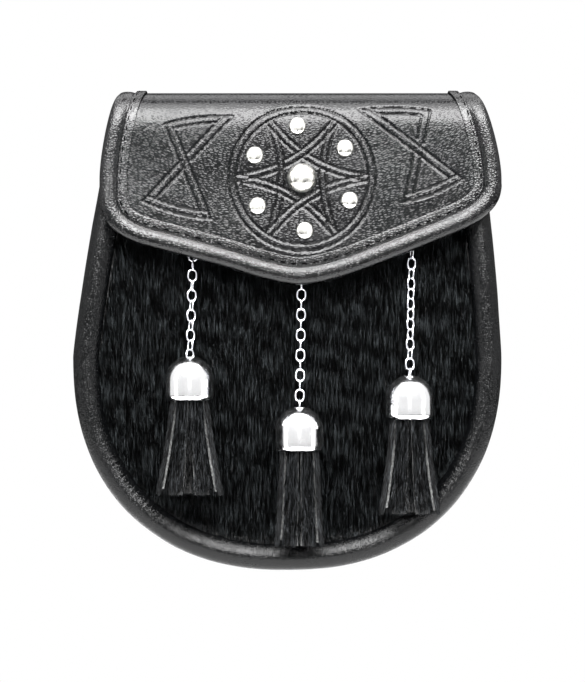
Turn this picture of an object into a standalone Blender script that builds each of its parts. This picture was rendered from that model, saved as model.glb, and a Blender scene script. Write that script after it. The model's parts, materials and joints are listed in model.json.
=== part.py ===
"""Sporran pouch: a leather and hide pouch that hangs on a belt at the front of a kilt.

Sizes are real ones in metres (written as millimetres times MM). X runs to the right, Z up, and the
front faces -Y. The origin lies midway between the two belt loops, in the middle of their tunnel.
"""

import collections
import math

import bmesh
import bpy
import numpy as np
from mathutils import Matrix, Vector

MM = 0.001

# Leather, hide and clearances
GAP = 0.3 * MM
GUSSET_LEATHER = 2.2 * MM
BACK_LEATHER = 2.5 * MM
FLAP_LEATHER = 2.5 * MM
FUR_LEATHER = 2.5 * MM
LOOP_LEATHER = 2.0 * MM

# Body seen from the front: a U whose lower half is a superellipse
BODY_HALF_WIDTH = 101.9 * MM
BODY_WIDEST_Z = -80.0 * MM
BODY_DROP = 101.5 * MM
BODY_ROUNDNESS = 2.27
BODY_NARROWING = 15.9 * MM
BODY_LEAN = -6.3 * MM
BODY_TOP_LEAN = -2.0 * MM
BACK_TOP_DROP = 1.0 * MM
BACK_STATIONS = 48
GUSSET_TOP_Z = 28.0 * MM
FUR_TOP_Z = 25.0 * MM
NARROWING_CURVE = 1.2

# Depth from the back's outer face to the crest of the rim
DEPTH = 43.5 * MM
TOP_DEPTH = 36.0 * MM
DEPTH_RUN = 110.0 * MM

# Padded rim and the hide front set into it
RIM_WIDTH = 12.0 * MM
RIM_DEPTH = 11.0 * MM
BACK_INSET = 6.0 * MM
GUSSET_STATIONS = 39
FUR_RECESS = 7.0 * MM
FUR_DOME = 1.0 * MM
FUR_COLUMNS = 12
FUR_ROWS = 7

# Flap: a sheet folded over the top
FLAP_TOP_Z = 45.0 * MM
FLAP_BEND_RADIUS = 11.0 * MM
FLAP_HALF_WIDTH = 95.3 * MM
FLAP_WIDEST_Z = 5.0 * MM
FLAP_NARROWING = 9.9 * MM
FLAP_SIDE_CURVE = 1.6
FLAP_TOP_LEAN = -1.4 * MM
FLAP_TIP_DROP = 46.0 * MM
HEM_LENGTH = 12.0 * MM
FLAP_COLUMNS = 20
FLAP_ROWS = 7
BEND_STEPS = 3

# Lower edge of the flap, left to right: shares of the flap's half width and of its tip's drop
FlapEdge = collections.namedtuple("FlapEdge", "across down")
FLAP_EDGE = (
    FlapEdge(-1.000, 0.08),
    FlapEdge(-0.995, 0.20),
    FlapEdge(-0.976, 0.30),
    FlapEdge(-0.930, 0.43),
    FlapEdge(-0.816, 0.567),
    FlapEdge(-0.565, 0.709),
    FlapEdge(-0.359, 0.828),
    FlapEdge(-0.190, 0.935),
    FlapEdge(0.000, 1.000),
    FlapEdge(0.203, 0.922),
    FlapEdge(0.431, 0.748),
    FlapEdge(0.659, 0.559),
    FlapEdge(0.850, 0.385),
    FlapEdge(0.942, 0.243),
    FlapEdge(0.985, 0.120),
    FlapEdge(1.000, 0.000),
)

# Rolled binding sewn round the flap's edge
ROLL_WIDTH = 8.2 * MM
ROLL_FRONT = 3.4 * MM
ROLL_BACK = 3.1 * MM
ROLL_TOP_SHARE = 0.55
FLANGE_WIDTH = 5.0 * MM
FLANGE_LEATHER = 0.8 * MM
BINDING_FRONT_STEPS = 5
BINDING_LOW_STEPS = 28

# Domed studs on the flap and the hidden closure behind it
ROUNDEL_X = 0.7 * MM
ROUNDEL_Z = 4.5 * MM
STUD_CIRCLE = 24.9 * MM
STUD_RADIUS = 4.1 * MM
STUD_HEIGHT = 2.4 * MM
STUD_ANGLES = (95.0, 35.0, -25.0, -87.0, -148.0, 154.0)
CENTRE_STUD_RADIUS = 7.0 * MM
CENTRE_STUD_HEIGHT = 6.4 * MM
STUD_SIDES = 10
CENTRE_STUD_SIDES = 16
DOME_STEPS = 4
STUD_RIM_SHARE = 0.15
PRESS_STUD_RADIUS = 5.0 * MM
PRESS_STUD_Z = -13.0 * MM

# Cable chain, its staple and the eye inside each bell
LINK_PITCH = 4.83 * MM
LINK_WIDTH = 5.0 * MM
LINK_WIRE = 1.0 * MM
LINK_BITE = 0.3 * MM
LINK_SIDES = 10
WIRE_SIDES = 5
CHAIN_LEAN = 1.6
STAPLE_HALF_HEIGHT = 2.0 * MM
EYE_RADIUS = 1.9 * MM
EYE_WIRE = 0.9 * MM
EYE_DEPTH = 2.4 * MM
EYE_STEM = 2.2 * MM

# Tassel bells and the hide strips under them
BELL_RADIUS = 11.3 * MM
BELL_HEIGHT = 20.5 * MM
BELL_WALL = 0.8 * MM
BELL_HOLE = 3.2 * MM
BELL_LIP_RADIUS = 3.0 * MM
BELL_LIP_TURN = math.radians(60.0)
BELL_FUR_GAP = 0.5 * MM
BELL_SIDES = 14
STRIP_COUNT = 7
STRIP_LENGTH = 44.0 * MM
STRIP_WIDTH = 5.6 * MM
STRIP_LEATHER = 1.8 * MM
STRIP_STEPS = 3
STRIP_FLARE = 1.4
STRIP_SHORTENING = 0.03
TASSEL_DEPTH_SHARE = 0.8
HEAD_HEIGHT = 5.0 * MM

# One row for each hanger: places across as shares of the body's half width, the bell's drop as a share
# of the flap tip's, the tassel's spread as a share of the bell's radius, and the chain's twist in degrees
Hanger = collections.namedtuple("Hanger", "side staple_x bell_x bell_z links end_twist mid_twist spread")
HANGER_SHARES = (
    Hanger("left", -0.501, -0.514, 1.741, 11, 40.0, 0.0, 1.239),
    Hanger("centre", 0.006, -0.005, 2.261, 14, 0.0, 0.0, 0.850),
    Hanger("right", 0.520, 0.506, 1.937, 14, 0.0, 42.0, 1.115),
)
HANGERS = tuple(
    row._replace(
        staple_x=row.staple_x * BODY_HALF_WIDTH,
        bell_x=row.bell_x * BODY_HALF_WIDTH,
        bell_z=-row.bell_z * FLAP_TIP_DROP,
        spread=row.spread * BELL_RADIUS,
    )
    for row in HANGER_SHARES
)

# Belt loops on the back
BELT_LOOP_X = 38.0 * MM
BELT_LOOP_WIDTH = 22.0 * MM
BELT_LOOP_HEIGHT = 40.0 * MM
BELT_LOOP_FOOT = 5.0 * MM
BELT_TUNNEL = 7.0 * MM

# Places that follow from the sizes above
BACK_Y = -BELT_TUNNEL / 2
BEND_Z = FLAP_TOP_Z - FLAP_LEATHER / 2 - FLAP_BEND_RADIUS
BACK_TOP_Z = BEND_Z - BACK_TOP_DROP
HEM_Y = BACK_Y + GAP + FLAP_LEATHER / 2
QUARTER = FLAP_BEND_RADIUS * math.pi / 2
SMALL_STEP = 0.01 * MM


def clear_scene():
    for obj in list(bpy.data.objects):
        bpy.data.objects.remove(obj, do_unlink=True)


def add_collection(name):
    collection = bpy.data.collections.new(name)
    bpy.context.scene.collection.children.link(collection)
    return collection


def add_material(name, colour, roughness, metallic=0.0):
    material = bpy.data.materials.new(name)
    material.use_nodes = True
    shader = material.node_tree.nodes["Principled BSDF"]
    shader.inputs["Base Color"].default_value = (*colour, 1.0)
    shader.inputs["Roughness"].default_value = roughness
    shader.inputs["Metallic"].default_value = metallic
    return material


def add_object(name, mesh, material, collection):
    obj = bpy.data.objects.new(name, mesh)
    mesh.materials.clear()
    mesh.materials.append(material)
    collection.objects.link(obj)
    return obj


def mesh_from(bm, name):
    """The finished mesh, with its faces pointing out of a closed shape and its edges smoothed."""
    mesh = bpy.data.meshes.new(name)
    bm.to_mesh(mesh)
    bm.free()
    mesh.shade_smooth()
    mesh.set_sharp_from_angle(angle=math.radians(40))
    return mesh


def clamp(value):
    return min(1.0, max(0.0, value))


def mix(low, high, share):
    return low + (high - low) * share


def resample(path, count):
    """The same open path with count points at equal steps."""
    path = np.asarray(path)
    travelled = np.concatenate([[0.0], np.cumsum(np.linalg.norm(np.diff(path, axis=0), axis=1))])
    steps = np.linspace(0.0, travelled[-1], count)
    return np.stack([np.interp(steps, travelled, path[:, i]) for i in range(path.shape[1])], axis=1)


def inward(path):
    """Unit vectors to the left of a flat path, which is its inner side on a U drawn from its left top."""
    along = np.gradient(path, axis=0)
    along /= np.linalg.norm(along, axis=1)[:, None]
    return np.stack([-along[:, 1], along[:, 0]], axis=1)


def smooth_through(points, steps):
    """Points along a smooth curve through the given ones."""
    points = np.asarray(points)
    padded = np.vstack([2 * points[0] - points[1], points, 2 * points[-1] - points[-2]])
    curve = []
    for i in range(1, len(padded) - 2):
        a, b, c, d = padded[i - 1 : i + 3]
        for t in np.arange(steps) / steps:
            curve.append(
                0.5
                * (
                    2 * b
                    + (c - a) * t
                    + (2 * a - 5 * b + 4 * c - d) * t**2
                    + (3 * b - a - 3 * c + d) * t**3
                )
            )
    curve.append(points[-1])
    return np.array(curve)


def corner_indices(path):
    """Where a U-shaped path turns through 45 degrees, low on the left and low on the right."""
    steps = np.diff(path, axis=0)
    heading = np.arctan2(steps[:, 1], steps[:, 0])
    left = int(np.argmax(heading > -math.pi / 4))
    right = len(heading) - int(np.argmax(heading[::-1] < math.pi / 4))
    return left, right


def patch(path, columns, rows, levels=()):
    """A grid of flat points that fills a U: rows from its bottom to its open top, columns left to right.

    Above the first of the levels, if there are any, the rows are straight and lie at the levels.
    """
    left, right = corner_indices(path)
    top = levels[0] if levels else path[0][1]
    sides = []
    for side in (path[: left + 1][::-1], path[right:]):
        heights = [mix(side[0][1], top, j / rows) for j in range(rows + 1)] + list(levels[1:])
        sides.append(np.stack([np.interp(heights, side[:, 1], side[:, 0]), heights], axis=1))
        sides[-1][0] = side[0]
    low = resample(path[left : right + 1], columns + 1)
    grid = np.empty((columns + 1, len(sides[0]), 2))
    for i in range(columns + 1):
        u = i / columns
        straight = [mix(sides[0][j], sides[1][j], u) for j in range(len(sides[0]))]
        for j, point in enumerate(straight):
            v = min(1.0, j / rows)
            grid[i, j] = point + (1 - v) * (low[i] - straight[0])
    return grid


def sheet(grid, place, name):
    """An open sheet: the grid's flat points put in space by place."""
    columns, rows = grid.shape[0] - 1, grid.shape[1] - 1
    bm = bmesh.new()
    bmesh.ops.create_grid(bm, x_segments=columns, y_segments=rows, size=1.0)
    for vertex in bm.verts:
        i = round((vertex.co.x + 1) / 2 * columns)
        j = round((vertex.co.y + 1) / 2 * rows)
        vertex.co = place(*grid[i, j])
    return mesh_from(bm, name)


def thicken(obj, thickness, offset):
    solid = obj.modifiers.new("Leather thickness", "SOLIDIFY")
    solid.thickness = thickness
    solid.offset = offset
    solid.use_even_offset = True


def sweep(sections, name):
    """A closed band through a list of like sections, each a ring of points, with flat ends."""
    stations, ring = len(sections), len(sections[0])
    bm = bmesh.new()
    bmesh.ops.create_grid(bm, x_segments=stations - 1, y_segments=ring, size=1.0)
    for vertex in bm.verts:
        i = round((vertex.co.x + 1) / 2 * (stations - 1))
        j = round((vertex.co.y + 1) / 2 * ring) % ring
        vertex.co = sections[i][j]
    bmesh.ops.remove_doubles(bm, verts=bm.verts, dist=SMALL_STEP / 10)
    bmesh.ops.holes_fill(bm, edges=bm.edges, sides=ring + 1)
    bmesh.ops.recalc_face_normals(bm, faces=bm.faces)
    return mesh_from(bm, name)


def turned(name, profile, steps, material, collection, place, axis=Vector((0.0, 0.0, 1.0))):
    """A turned piece: a profile of (radius, height) turned about an axis that passes through place."""
    mesh = bpy.data.meshes.new(name)
    mesh.from_pydata([(r, 0.0, z) for r, z in profile], [(i, i + 1) for i in range(len(profile) - 1)], [])
    obj = add_object(name, mesh, material, collection)
    screw = obj.modifiers.new("Turning", "SCREW")
    screw.axis = "Z"
    screw.steps = steps
    screw.render_steps = steps
    screw.use_merge_vertices = True
    screw.merge_threshold = SMALL_STEP
    obj.location = place
    obj.rotation_mode = "QUATERNION"
    obj.rotation_quaternion = Vector((0.0, 0.0, 1.0)).rotation_difference(axis)
    return obj


def wire(name, points, thickness, material, collection):
    """A bent wire through the given points."""
    curve = bpy.data.curves.new(name, "CURVE")
    curve.dimensions = "3D"
    curve.bevel_depth = thickness / 2
    curve.bevel_resolution = 1
    curve.use_fill_caps = True
    spline = curve.splines.new("POLY")
    spline.points.add(len(points) - 1)
    for point, place in zip(spline.points, points):
        point.co = (*place, 1.0)
    obj = bpy.data.objects.new(name, curve)
    curve.materials.append(material)
    collection.objects.link(obj)
    return obj


def body_centre(z):
    """The middle of the body at height z: the pouch leans a little to the left as it goes down."""
    share = clamp((z - BODY_WIDEST_Z) / (FLAP_TOP_Z - BODY_WIDEST_Z))
    return mix(BODY_LEAN, BODY_TOP_LEAN, share)


def body_half_width(z):
    share = clamp((z - BODY_WIDEST_Z) / (FLAP_TOP_Z - BODY_WIDEST_Z))
    return BODY_HALF_WIDTH - BODY_NARROWING * share**NARROWING_CURVE


def body_outline(top, inset=0.0):
    """The body's U from its left top, round the bottom, to its right top, moved in by inset."""
    heights = np.linspace(top, BODY_WIDEST_Z, 40)[:-1]
    left = [(body_centre(z) - body_half_width(z), z) for z in heights]
    right = [(body_centre(z) + body_half_width(z), z) for z in heights[::-1]]
    power = 2 / BODY_ROUNDNESS
    low = []
    for angle in np.linspace(math.pi, 2 * math.pi, 121):
        x = math.copysign(abs(math.cos(angle)) ** power, math.cos(angle))
        z = abs(math.sin(angle)) ** power
        low.append((BODY_LEAN + BODY_HALF_WIDTH * x, BODY_WIDEST_Z - BODY_DROP * z))
    path = resample(np.array(left + low + right), 400)
    path = path + inward(path) * inset
    path[0][1] = path[-1][1] = top
    return path


def crest_y(z):
    """How far forward the rim stands at height z: the pouch is thinner at its mouth."""
    share = clamp((FLAP_TOP_Z - z) / DEPTH_RUN)
    return BACK_Y - mix(TOP_DEPTH, DEPTH, share * (2 - share))


def fur_y(x, z):
    """The hide's front face, slightly domed."""
    across = clamp(abs(x - body_centre(z)) / BODY_HALF_WIDTH)
    down = clamp((BODY_WIDEST_Z - z) / BODY_DROP)
    return crest_y(z) + FUR_RECESS - FUR_DOME * (1 - across**2) * (1 - down**2)


def flap_front_y(z):
    return crest_y(z) - GAP - ROLL_BACK


def flap_levels():
    """The sheet's height where the front, the front bend, the top, the back bend and the hem end."""
    flat_top = HEM_Y - FLAP_BEND_RADIUS - (flap_front_y(BEND_Z) + FLAP_BEND_RADIUS)
    front = BEND_Z
    top_end = front + QUARTER + flat_top
    return front, front + QUARTER, top_end, top_end + QUARTER, top_end + QUARTER + HEM_LENGTH


def flap_point(x, s, lift=0.0):
    """A point of the flap: x across, s up the sheet from z = 0, lift out of its middle surface."""
    front, bend_end, top_end, back_end, _ = flap_levels()
    bend_y = flap_front_y(BEND_Z) + FLAP_BEND_RADIUS
    if s <= front:
        slope = (flap_front_y(s + SMALL_STEP) - flap_front_y(s - SMALL_STEP)) / (2 * SMALL_STEP)
        y, z = flap_front_y(s), s
        out = Vector((0.0, -1.0, slope)).normalized()
    elif s <= bend_end:
        turn = (s - front) / FLAP_BEND_RADIUS
        y = bend_y - FLAP_BEND_RADIUS * math.cos(turn)
        z = BEND_Z + FLAP_BEND_RADIUS * math.sin(turn)
        out = Vector((0.0, -math.cos(turn), math.sin(turn)))
    elif s <= top_end:
        y, z = bend_y + s - bend_end, BEND_Z + FLAP_BEND_RADIUS
        out = Vector((0.0, 0.0, 1.0))
    elif s <= back_end:
        turn = (s - top_end) / FLAP_BEND_RADIUS
        y = HEM_Y - FLAP_BEND_RADIUS * (1 - math.sin(turn))
        z = BEND_Z + FLAP_BEND_RADIUS * math.cos(turn)
        out = Vector((0.0, math.sin(turn), math.cos(turn)))
    else:
        y, z = HEM_Y, BEND_Z - (s - back_end)
        out = Vector((0.0, 1.0, 0.0))
    return Vector((x, y, z)) + out * lift


def flap_out(x, s):
    return (flap_point(x, s, 1.0) - flap_point(x, s)).normalized()


def flap_side(s, side):
    """The flap's left (-1) or right (1) edge at s: narrower and a little to the left near the top."""
    share = clamp((s - FLAP_WIDEST_Z) / (BEND_Z + QUARTER - FLAP_WIDEST_Z)) ** FLAP_SIDE_CURVE
    return side * (FLAP_HALF_WIDTH - FLAP_NARROWING * share) + FLAP_TOP_LEAN * share


def flap_outline(top, inset=0.0):
    """The flap's edge on the flat sheet, from left top round the tip to right top, moved in by inset."""
    edge = [(row.across * FLAP_HALF_WIDTH, -row.down * FLAP_TIP_DROP) for row in FLAP_EDGE]
    heights = np.linspace(top, FLAP_WIDEST_Z / 2, 40)
    left = [(flap_side(s, -1), s) for s in heights]
    right = [(flap_side(s, 1), s) for s in heights[::-1]]
    low = smooth_through([left[-1]] + edge + [right[0]], 8)
    path = resample(np.vstack([left[:-1], low, right[1:]]), 500)
    path = path + inward(path) * inset
    path[0][1] = path[-1][1] = top
    return path


def make_back_panel(material, collection):
    """The flat back, set inside the gusset's back edge."""
    edge = resample(body_outline(BACK_TOP_Z, BACK_INSET + GUSSET_LEATHER + GAP), BACK_STATIONS)
    curve = bpy.data.curves.new("back_panel", "CURVE")
    curve.dimensions = "2D"
    curve.fill_mode = "BOTH"
    curve.extrude = BACK_LEATHER / 2
    spline = curve.splines.new("POLY")
    spline.points.add(len(edge) - 1)
    spline.use_cyclic_u = True
    for point, (x, z) in zip(spline.points, edge):
        point.co = (x, z, 0.0, 1.0)
    obj = bpy.data.objects.new("back_panel", curve)
    curve.materials.append(material)
    obj.location = (0.0, BACK_Y - BACK_LEATHER / 2, 0.0)
    obj.rotation_euler = (math.pi / 2, 0.0, 0.0)
    collection.objects.link(obj)


def gusset_section(z):
    """(inset, y) round the gusset at height z: the side wall, then the padded rim at its front."""
    crest = crest_y(z)
    neck = crest + RIM_DEPTH
    third, two_thirds = mix(BACK_Y, neck, 1 / 3), mix(BACK_Y, neck, 2 / 3)
    outer = (
        (BACK_INSET, BACK_Y),
        (0.76 * BACK_INSET, third),
        (0.66 * BACK_INSET, two_thirds),
        (0.72 * BACK_INSET, neck),
    )
    rim = (
        (0.12 * RIM_WIDTH, crest + 0.86 * RIM_DEPTH),
        (0.0, crest + 0.52 * RIM_DEPTH),
        (0.11 * RIM_WIDTH, crest + 0.20 * RIM_DEPTH),
        (0.45 * RIM_WIDTH, crest),
        (0.79 * RIM_WIDTH, crest + 0.13 * RIM_DEPTH),
        (RIM_WIDTH, crest + 0.42 * RIM_DEPTH),
        (0.97 * RIM_WIDTH, crest + 0.72 * RIM_DEPTH),
    )
    inner = tuple((inset + GUSSET_LEATHER, y) for inset, y in outer[::-1])
    return outer + rim + inner


def make_gusset(material, collection):
    """The leather side wall and the padded rim, one piece round the pouch."""
    path = resample(body_outline(GUSSET_TOP_Z), GUSSET_STATIONS)
    side = inward(path)
    sections = []
    for (x, z), (in_x, in_z) in zip(path, side):
        sections.append([(x + in_x * inset, y, z + in_z * inset) for inset, y in gusset_section(z)])
    add_object("side_gusset", sweep(sections, "side_gusset"), material, collection)


def make_fur_panel(material, collection):
    """The hide front, set into the rim."""
    grid = patch(body_outline(FUR_TOP_Z, RIM_WIDTH + GAP), FUR_COLUMNS, FUR_ROWS)
    mesh = sheet(grid, lambda x, z: (x, fur_y(x, z), z), "fur_panel")
    thicken(add_object("fur_panel", mesh, material, collection), FUR_LEATHER, -1.0)


def bend_levels():
    """Heights on the sheet of the flap's rows above its front, shared with the binding that lies on it."""
    front, bend_end, top_end, _, hem_end = flap_levels()
    quarter_steps = [(i + 1) / BEND_STEPS * QUARTER for i in range(BEND_STEPS)]
    front_bend = [front] + [front + step for step in quarter_steps]
    back_bend = [top_end + step for step in quarter_steps]
    return front_bend + [(bend_end + top_end) / 2, top_end] + back_bend + [hem_end]


def make_flap(material, collection):
    """The flap: down the front, over the top and a short hem down the back."""
    levels = bend_levels()
    grid = patch(flap_outline(levels[-1], ROLL_WIDTH + 2 * GAP), FLAP_COLUMNS, FLAP_ROWS, levels)
    mesh = sheet(grid, flap_point, "flap")
    thicken(add_object("flap", mesh, material, collection), FLAP_LEATHER, 0.0)


def binding_section(roll_front):
    """(inset, lift) round the binding: the roll past the flap's edge and the flange sewn over its face."""
    face = FLAP_LEATHER / 2 + GAP
    return (
        (0.0, 0.0),
        (0.10 * ROLL_WIDTH, 0.68 * roll_front),
        (0.38 * ROLL_WIDTH, roll_front),
        (0.74 * ROLL_WIDTH, max(0.93 * roll_front, 0.5 * face)),
        (ROLL_WIDTH, face + FLANGE_LEATHER),
        (ROLL_WIDTH + FLANGE_WIDTH, face + FLANGE_LEATHER),
        (ROLL_WIDTH + FLANGE_WIDTH, face),
        (ROLL_WIDTH, face),
        (0.97 * ROLL_WIDTH, -0.55 * ROLL_BACK),
        (0.70 * ROLL_WIDTH, -0.95 * ROLL_BACK),
        (0.35 * ROLL_WIDTH, -ROLL_BACK),
        (0.09 * ROLL_WIDTH, -0.62 * ROLL_BACK),
    )


def make_binding(material, collection):
    """The rolled edge of the flap, which goes over the top and ends above the back panel."""
    levels = bend_levels()[:-2]
    path = flap_outline(levels[-1])
    side = inward(path)
    numbers = np.arange(len(path))
    half = len(path) // 2
    front = [mix(levels[0], FLAP_WIDEST_Z, (i + 1) / BINDING_FRONT_STEPS) for i in range(BINDING_FRONT_STEPS)]
    heights = levels[::-1] + front
    left = np.interp(heights, path[:half, 1][::-1], numbers[:half][::-1])
    right = np.interp(heights[::-1], path[half:, 1], numbers[half:])
    low = np.linspace(left[-1], right[0], BINDING_LOW_STEPS + 1)[1:-1]
    sections = []
    for number in np.concatenate([left, low, right]):
        place = np.array([np.interp(number, numbers, path[:, i]) for i in range(2)])
        level = clamp((place[1] - FLAP_WIDEST_Z) / (levels[0] - FLAP_WIDEST_Z))
        across = np.array([np.interp(number, numbers, side[:, i]) for i in range(2)])
        across = mix(across, np.array([-math.copysign(1.0, place[0]), 0.0]), level)
        roll_front = ROLL_FRONT * mix(1.0, ROLL_TOP_SHARE, clamp((place[1] - BEND_Z) / QUARTER))
        ring = binding_section(roll_front)
        sections.append([flap_point(*(place + across * inset), lift) for inset, lift in ring])
    add_object("flap_binding", sweep(sections, "flap_binding"), material, collection)


def dome(radius, height, rim):
    """A domed stud's profile, top to bottom: a dome on a short straight rim."""
    top = height - rim
    angles = [math.pi / 2 * i / DOME_STEPS for i in range(DOME_STEPS + 1)]
    curve = [(radius * math.sin(a), rim + top * math.cos(a)) for a in angles]
    return curve + [(radius, 0.0), (0.0, 0.0)]


def make_studs(material, collection):
    """The large centre stud and the ring of small ones, seated on the flap's face."""
    seat = FLAP_LEATHER / 2 + GAP
    places = [
        ("centre_stud", ROUNDEL_X, ROUNDEL_Z, CENTRE_STUD_RADIUS, CENTRE_STUD_HEIGHT, CENTRE_STUD_SIDES)
    ]
    for i, degrees in enumerate(STUD_ANGLES):
        angle = math.radians(degrees)
        x = ROUNDEL_X + STUD_CIRCLE * math.cos(angle)
        s = ROUNDEL_Z + STUD_CIRCLE * math.sin(angle)
        places.append((f"stud_{i + 1}", x, s, STUD_RADIUS, STUD_HEIGHT, STUD_SIDES))
    for name, x, s, radius, height, sides in places:
        profile = dome(radius, height, STUD_RIM_SHARE * height)
        turned(name, profile, sides, material, collection, flap_point(x, s, seat), flap_out(x, s))


def make_press_stud(material, collection):
    """The hidden closure between the flap and the hide front."""
    out = flap_out(0.0, PRESS_STUD_Z)
    back = flap_point(0.0, PRESS_STUD_Z, -FLAP_LEATHER / 2 - GAP)
    length = fur_y(back.x, back.z) - back.y - 2 * GAP
    profile = ((0.0, length), (PRESS_STUD_RADIUS, length), (PRESS_STUD_RADIUS, 0.0), (0.0, 0.0))
    turned("press_stud", profile, STUD_SIDES, material, collection, back - out * length, out)


def link_length():
    return LINK_PITCH + 2 * LINK_WIRE - LINK_BITE


def hook_reach(radius, thickness):
    """From the middle of a ring to the middle of the link that hooks it."""
    return radius - (LINK_WIRE + thickness) / 2 - GAP + (link_length() - LINK_WIRE) / 2


def bell_axis(hanger):
    """The bell's middle line: it rests on the hide's hair."""
    z = hanger.bell_z - BELL_HEIGHT / 2
    return fur_y(hanger.bell_x, z) - BELL_FUR_GAP - BELL_RADIUS


def chain_path(hanger):
    """The chain's line from the eye inside the bell up to its staple, as long as its links."""
    low = np.array([hanger.bell_x, bell_axis(hanger), hanger.bell_z - EYE_DEPTH])
    wanted = hook_reach(EYE_RADIUS, EYE_WIRE) + (hanger.links - 1) * LINK_PITCH
    wanted += hook_reach(STAPLE_HALF_HEIGHT, LINK_WIRE)
    rise = wanted
    for _ in range(6):
        top_z = low[2] + rise
        top_y = fur_y(hanger.staple_x, top_z) - 2 * GAP - LINK_WIDTH / 2
        shares = np.linspace(0.0, 1.0, 200)
        lean = 1 - (1 - shares) ** CHAIN_LEAN
        path = np.stack(
            [mix(low[0], hanger.staple_x, shares), mix(low[1], top_y, lean), low[2] + rise * shares], axis=1
        )
        rise *= wanted / np.linalg.norm(np.diff(path, axis=0), axis=1).sum()
    return path


def along_path(path, distance):
    travelled = np.concatenate([[0.0], np.cumsum(np.linalg.norm(np.diff(path, axis=0), axis=1))])
    ends = [max(0.0, distance - LINK_PITCH / 4), min(travelled[-1], distance + LINK_PITCH / 4)]
    middle, low, high = (
        Vector([np.interp(d, travelled, path[:, i]) for i in range(3)]) for d in (distance, *ends)
    )
    return middle, (high - low).normalized()


def link_frame(hanger, index, distance, path):
    """Where link index sits: 0 hangs on the staple face on, and each next one is turned a quarter."""
    middle, up = along_path(path, distance)
    share = (index + 1) / (hanger.links + 1)
    twist = hanger.end_twist * share + hanger.mid_twist * math.sin(math.pi * share)
    turn = math.radians(90.0 * index + twist)
    across = Vector((1.0, 0.0, 0.0))
    across = (across - up * across.dot(up)).normalized()
    frame = Matrix((across, -across.cross(up), up)).transposed()
    return Matrix.Translation(middle) @ (frame @ Matrix.Rotation(turn, 3, "Z")).to_4x4()


def link_mesh():
    """One oval link, standing in the XZ plane."""
    bpy.ops.mesh.primitive_torus_add(
        major_segments=LINK_SIDES,
        minor_segments=WIRE_SIDES,
        major_radius=(LINK_WIDTH - LINK_WIRE) / 2,
        minor_radius=LINK_WIRE / 2,
        rotation=(math.pi / 2, 0.0, 0.0),
    )
    obj = bpy.context.object
    mesh = obj.data
    mesh.transform(obj.matrix_world)
    for vertex in mesh.vertices:
        if abs(vertex.co.z) > LINK_WIRE:
            vertex.co.z += math.copysign((link_length() - LINK_WIDTH) / 2, vertex.co.z)
    bpy.data.objects.remove(obj)
    return mesh


def make_chain(hanger, link, material, collection, cutters):
    """A cable chain whose links hold one another."""
    path = chain_path(hanger)
    name = f"chain_{hanger.side}"
    first = hook_reach(EYE_RADIUS, EYE_WIRE)
    halves = (bmesh.new(), bmesh.new())
    for index in range(hanger.links):
        distance = first + (hanger.links - 1 - index) * LINK_PITCH
        half = halves[index % 2]
        half.from_mesh(link)
        new = list(half.verts)[-len(link.vertices) :]
        bmesh.ops.transform(half, matrix=link_frame(hanger, index, distance, path), verts=new)
    for half in halves:
        bmesh.ops.recalc_face_normals(half, faces=half.faces)
    obj = add_object(name, mesh_from(halves[0], name), material, collection)
    others = add_object(f"{name}_turned_links", mesh_from(halves[1], name), material, cutters)
    hide_cutter(others)
    join(obj, others)


def hide_cutter(obj):
    obj.hide_render = True
    obj.display_type = "WIRE"


def join(obj, other):
    union = obj.modifiers.new("Joined", "BOOLEAN")
    union.operation = "UNION"
    union.object = other


def make_staple(hanger, material, collection):
    """The hidden wire staple on the hide that the first link hooks on."""
    top = Vector(chain_path(hanger)[-1])
    root_y = fur_y(top.x, top.z) - GAP
    points = [Vector((top.x, root_y, top.z + STAPLE_HALF_HEIGHT))]
    for i in range(7):
        turn = math.pi * i / 6
        points.append(top + STAPLE_HALF_HEIGHT * Vector((0.0, -math.sin(turn), math.cos(turn))))
    points.append(Vector((top.x, root_y, top.z - STAPLE_HALF_HEIGHT)))
    wire(f"chain_staple_{hanger.side}", points, LINK_WIRE, material, collection)


def make_eye(hanger, material, collection):
    """The hidden eye inside the bell: the last link hooks it, and its stem holds the tassel."""
    path = chain_path(hanger)
    frame = link_frame(hanger, hanger.links, 0.0, path).to_3x3()
    across = frame.col[0]
    across = Vector((across.x, across.y, 0.0)).normalized()
    middle = Vector(path[0])
    up = Vector((0.0, 0.0, 1.0))
    points = [middle - up * (EYE_RADIUS + EYE_STEM)]
    for i in range(10):
        turn = math.radians(-90.0 + 32.0 * i)
        points.append(middle + EYE_RADIUS * (across * math.cos(turn) + up * math.sin(turn)))
    wire(f"tassel_wire_{hanger.side}", points, EYE_WIRE, material, collection)


def make_bell(hanger, material, collection):
    """A domed metal cap, open below, with a hole in its crown for the chain."""
    start = math.asin(BELL_HOLE / BELL_RADIUS)
    crown = BELL_RADIUS * math.cos(start)
    low = BELL_LIP_RADIUS * math.sin(BELL_LIP_TURN) - BELL_HEIGHT
    outer = [
        (BELL_RADIUS * math.sin(angle), BELL_RADIUS * math.cos(angle) - crown)
        for angle in np.linspace(start, math.pi / 2, 6)
    ]
    for angle in np.linspace(0.0, BELL_LIP_TURN, 3):
        reach = BELL_RADIUS - BELL_LIP_RADIUS * (1 - math.cos(angle))
        outer.append((reach, low - BELL_LIP_RADIUS * math.sin(angle)))
    within = BELL_RADIUS - BELL_WALL
    inner = [(outer[-1][0] - BELL_WALL, outer[-1][1]), (within, low)]
    inner += [
        (within * math.sin(angle), within * math.cos(angle) - crown)
        for angle in np.linspace(math.pi / 2, start, 4)
    ]
    place = Vector((hanger.bell_x, bell_axis(hanger), hanger.bell_z))
    turned(f"bell_{hanger.side}", outer + inner + [outer[0]], BELL_SIDES, material, collection, place)


def mouth_radius():
    return BELL_RADIUS - BELL_LIP_RADIUS * (1 - math.cos(BELL_LIP_TURN)) - BELL_WALL


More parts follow.
